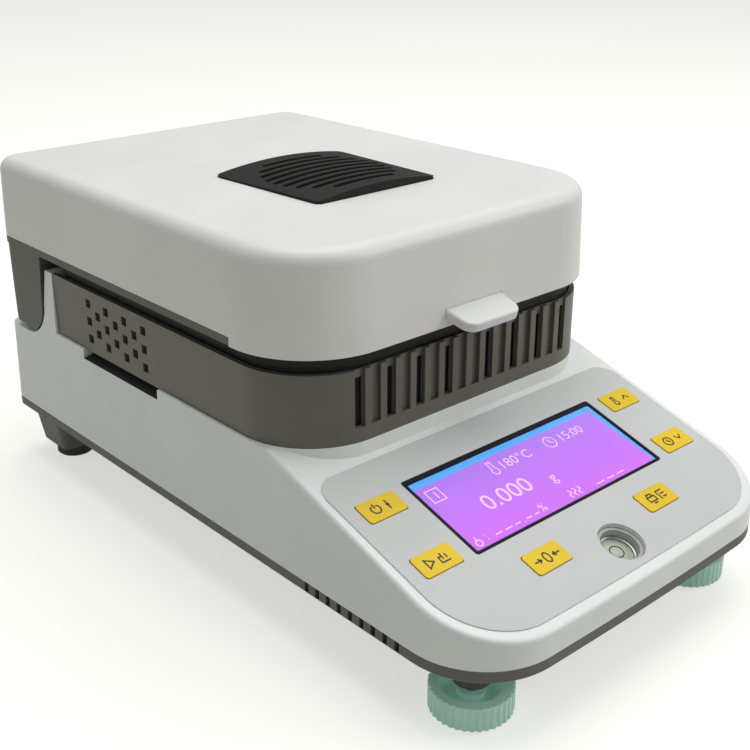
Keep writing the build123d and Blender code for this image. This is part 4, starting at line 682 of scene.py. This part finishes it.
def cross_recess(tree, size):
    """Painted shade in the cross of a screw head's drive, laid on as two thin dark crossed bars."""
    bars = add_node(tree, "GeometryNodeJoinGeometry")
    for sizes in (("Bar length", "Bar width"), ("Bar width", "Bar length")):
        block = add_node(tree, "ShaderNodeCombineXYZ", {
            "X": size[sizes[0]], "Y": size[sizes[1]], "Z": size["Bar depth"]})
        bar = add_node(tree, "GeometryNodeMeshCube", {"Size": block.outputs["Vector"]})
        tree.links.new(bar.outputs["Mesh"], bars.inputs["Geometry"])
    return bars.outputs["Geometry"]


def pin_hole(tree, size):
    """Painted shade in the mouth of one contact in the serial connector, a thin dark disc."""
    disc = add_node(tree, "GeometryNodeMeshCylinder", {
        "Vertices": 14, "Radius": size["Hole radius"], "Depth": size["Hole depth"]})
    turned = add_node(tree, "GeometryNodeTransform", {
        "Geometry": disc.outputs["Mesh"], "Rotation": (math.pi / 2, 0, 0)})
    return turned.outputs["Geometry"]


TRAY_SCREWS = [(s * x, y, 30.47) for s in (-1, 1) for x, y in ((92, -20), (92, 174), (45, -174))]
LID_SCREWS = [(s * 84, y, 129.68) for s in (-1, 1) for y in (-38, 122)]
drive_sizes = {"Bar length": 3.4 * MM, "Bar width": 0.7 * MM, "Bar depth": 0.1 * MM}
grown("tray_screw_drives", scattered(TRAY_SCREWS, cross_recess), painted_recess_shade, "base", drive_sizes)
grown("lid_screw_drives", scattered(LID_SCREWS, cross_recess), painted_recess_shade, "lid", drive_sizes)
contacts = [(-48 + (k - 2) * 2.8, 185.77, 59.4) for k in range(5)]
contacts += [(-48 + (k - 1.5) * 2.8, 185.77, 56.6) for k in range(4)]
grown("serial_contacts", scattered(contacts, pin_hole), painted_recess_shade, "base",
      {"Hole radius": 0.55 * MM, "Hole depth": 0.06 * MM})


# Room: pale floor that also shows white to the camera, glass and metal
def studio_white(name, colour, glow):
    """A pale matt surface with a little of its own white for camera, gloss and glass rays."""
    material, tree, shader = start_material(name, Roughness=0.95)
    shader.inputs["Base Color"].default_value = linear(colour)
    path = add_node(tree, "ShaderNodeLightPath")
    seen = add_node(tree, "ShaderNodeMath", {
        0: path.outputs["Is Camera Ray"], 1: path.outputs["Is Glossy Ray"]}, operation="MAXIMUM")
    also = add_node(tree, "ShaderNodeMath", {
        0: seen.outputs["Value"], 1: path.outputs["Is Transmission Ray"]}, operation="MAXIMUM")
    strength = add_node(tree, "ShaderNodeMath", {0: also.outputs["Value"], 1: glow}, operation="MULTIPLY")
    light = add_node(tree, "ShaderNodeEmission", {
        "Color": (1, 1, 1, 1), "Strength": strength.outputs["Value"]})
    both = add_node(tree, "ShaderNodeAddShader", {0: shader.outputs["BSDF"], 1: light.outputs["Emission"]})
    output = next(n for n in tree.nodes if n.type == "OUTPUT_MATERIAL")
    tree.links.new(both.outputs["Shader"], output.inputs["Surface"])
    return material


floor_build = bmesh.new()
bmesh.ops.create_grid(floor_build, x_segments=1, y_segments=1, size=6.0)
floor_mesh = bpy.data.meshes.new("floor")
floor_build.to_mesh(floor_mesh)
floor_build.free()
floor_mesh.materials.append(studio_white("studio_floor_white", "#B9BAAD", 0.60))
floor = bpy.data.objects.new("floor", floor_mesh)
bpy.context.scene.collection.objects.link(floor)

world = bpy.data.worlds.new("studio")
bpy.context.scene.world = world
world.use_nodes = True
sky = world.node_tree
path = add_node(sky, "ShaderNodeLightPath")
direct = add_node(sky, "ShaderNodeMath", {
    0: path.outputs["Is Camera Ray"], 1: path.outputs["Is Transmission Ray"]}, operation="MAXIMUM")
level = add_node(sky, "ShaderNodeMapRange", {
    "Value": direct.outputs["Value"], "To Min": ROOM_LIGHT, "To Max": ROOM_SEEN})
background = sky.nodes["Background"]
background.inputs["Color"].default_value = (1.0, 1.0, 1.0, 1.0)
sky.links.new(level.outputs["Result"], background.inputs["Strength"])


def soft_lamp(name, place, aim, size, power):
    """A large square lamp at a place, aimed at a point."""
    data = bpy.data.lights.new(name, "AREA")
    data.size = size
    data.energy = power
    lamp = bpy.data.objects.new(name, data)
    bpy.context.scene.collection.objects.link(lamp)
    lamp.location = place
    lamp.rotation_euler = (Vector(aim) - Vector(place)).to_track_quat("-Z", "Y").to_euler()


soft_lamp("overhead_softbox", (0.25, 0.1, 1.9), (0.0, 0.0, 0.1), 1.5, 24.5)
soft_lamp("key_right_front", (1.5, -1.3, 1.1), (0.0, -0.05, 0.1), 0.9, 12.5)

# Camera fitted to the photograph's view
camera_data = bpy.data.cameras.new("photo_camera")
camera_data.sensor_width = 36.0
camera_data.lens = 55.41
camera_data.clip_start = 0.02
camera = bpy.data.objects.new("photo_camera", camera_data)
bpy.context.scene.collection.objects.link(camera)
right = Vector((0.74211, -0.67027, -0.00123))
up = Vector((0.26494, 0.29164, 0.91911))
forward = Vector((0.61569, 0.68241, -0.39401))
camera.matrix_world = Matrix.Translation((-0.35887, -0.41091, 0.31001)) @ Matrix(
    (right, up, -forward)).transposed().to_4x4()
bpy.context.scene.camera = camera
bpy.context.scene.view_settings.view_transform = "Standard"
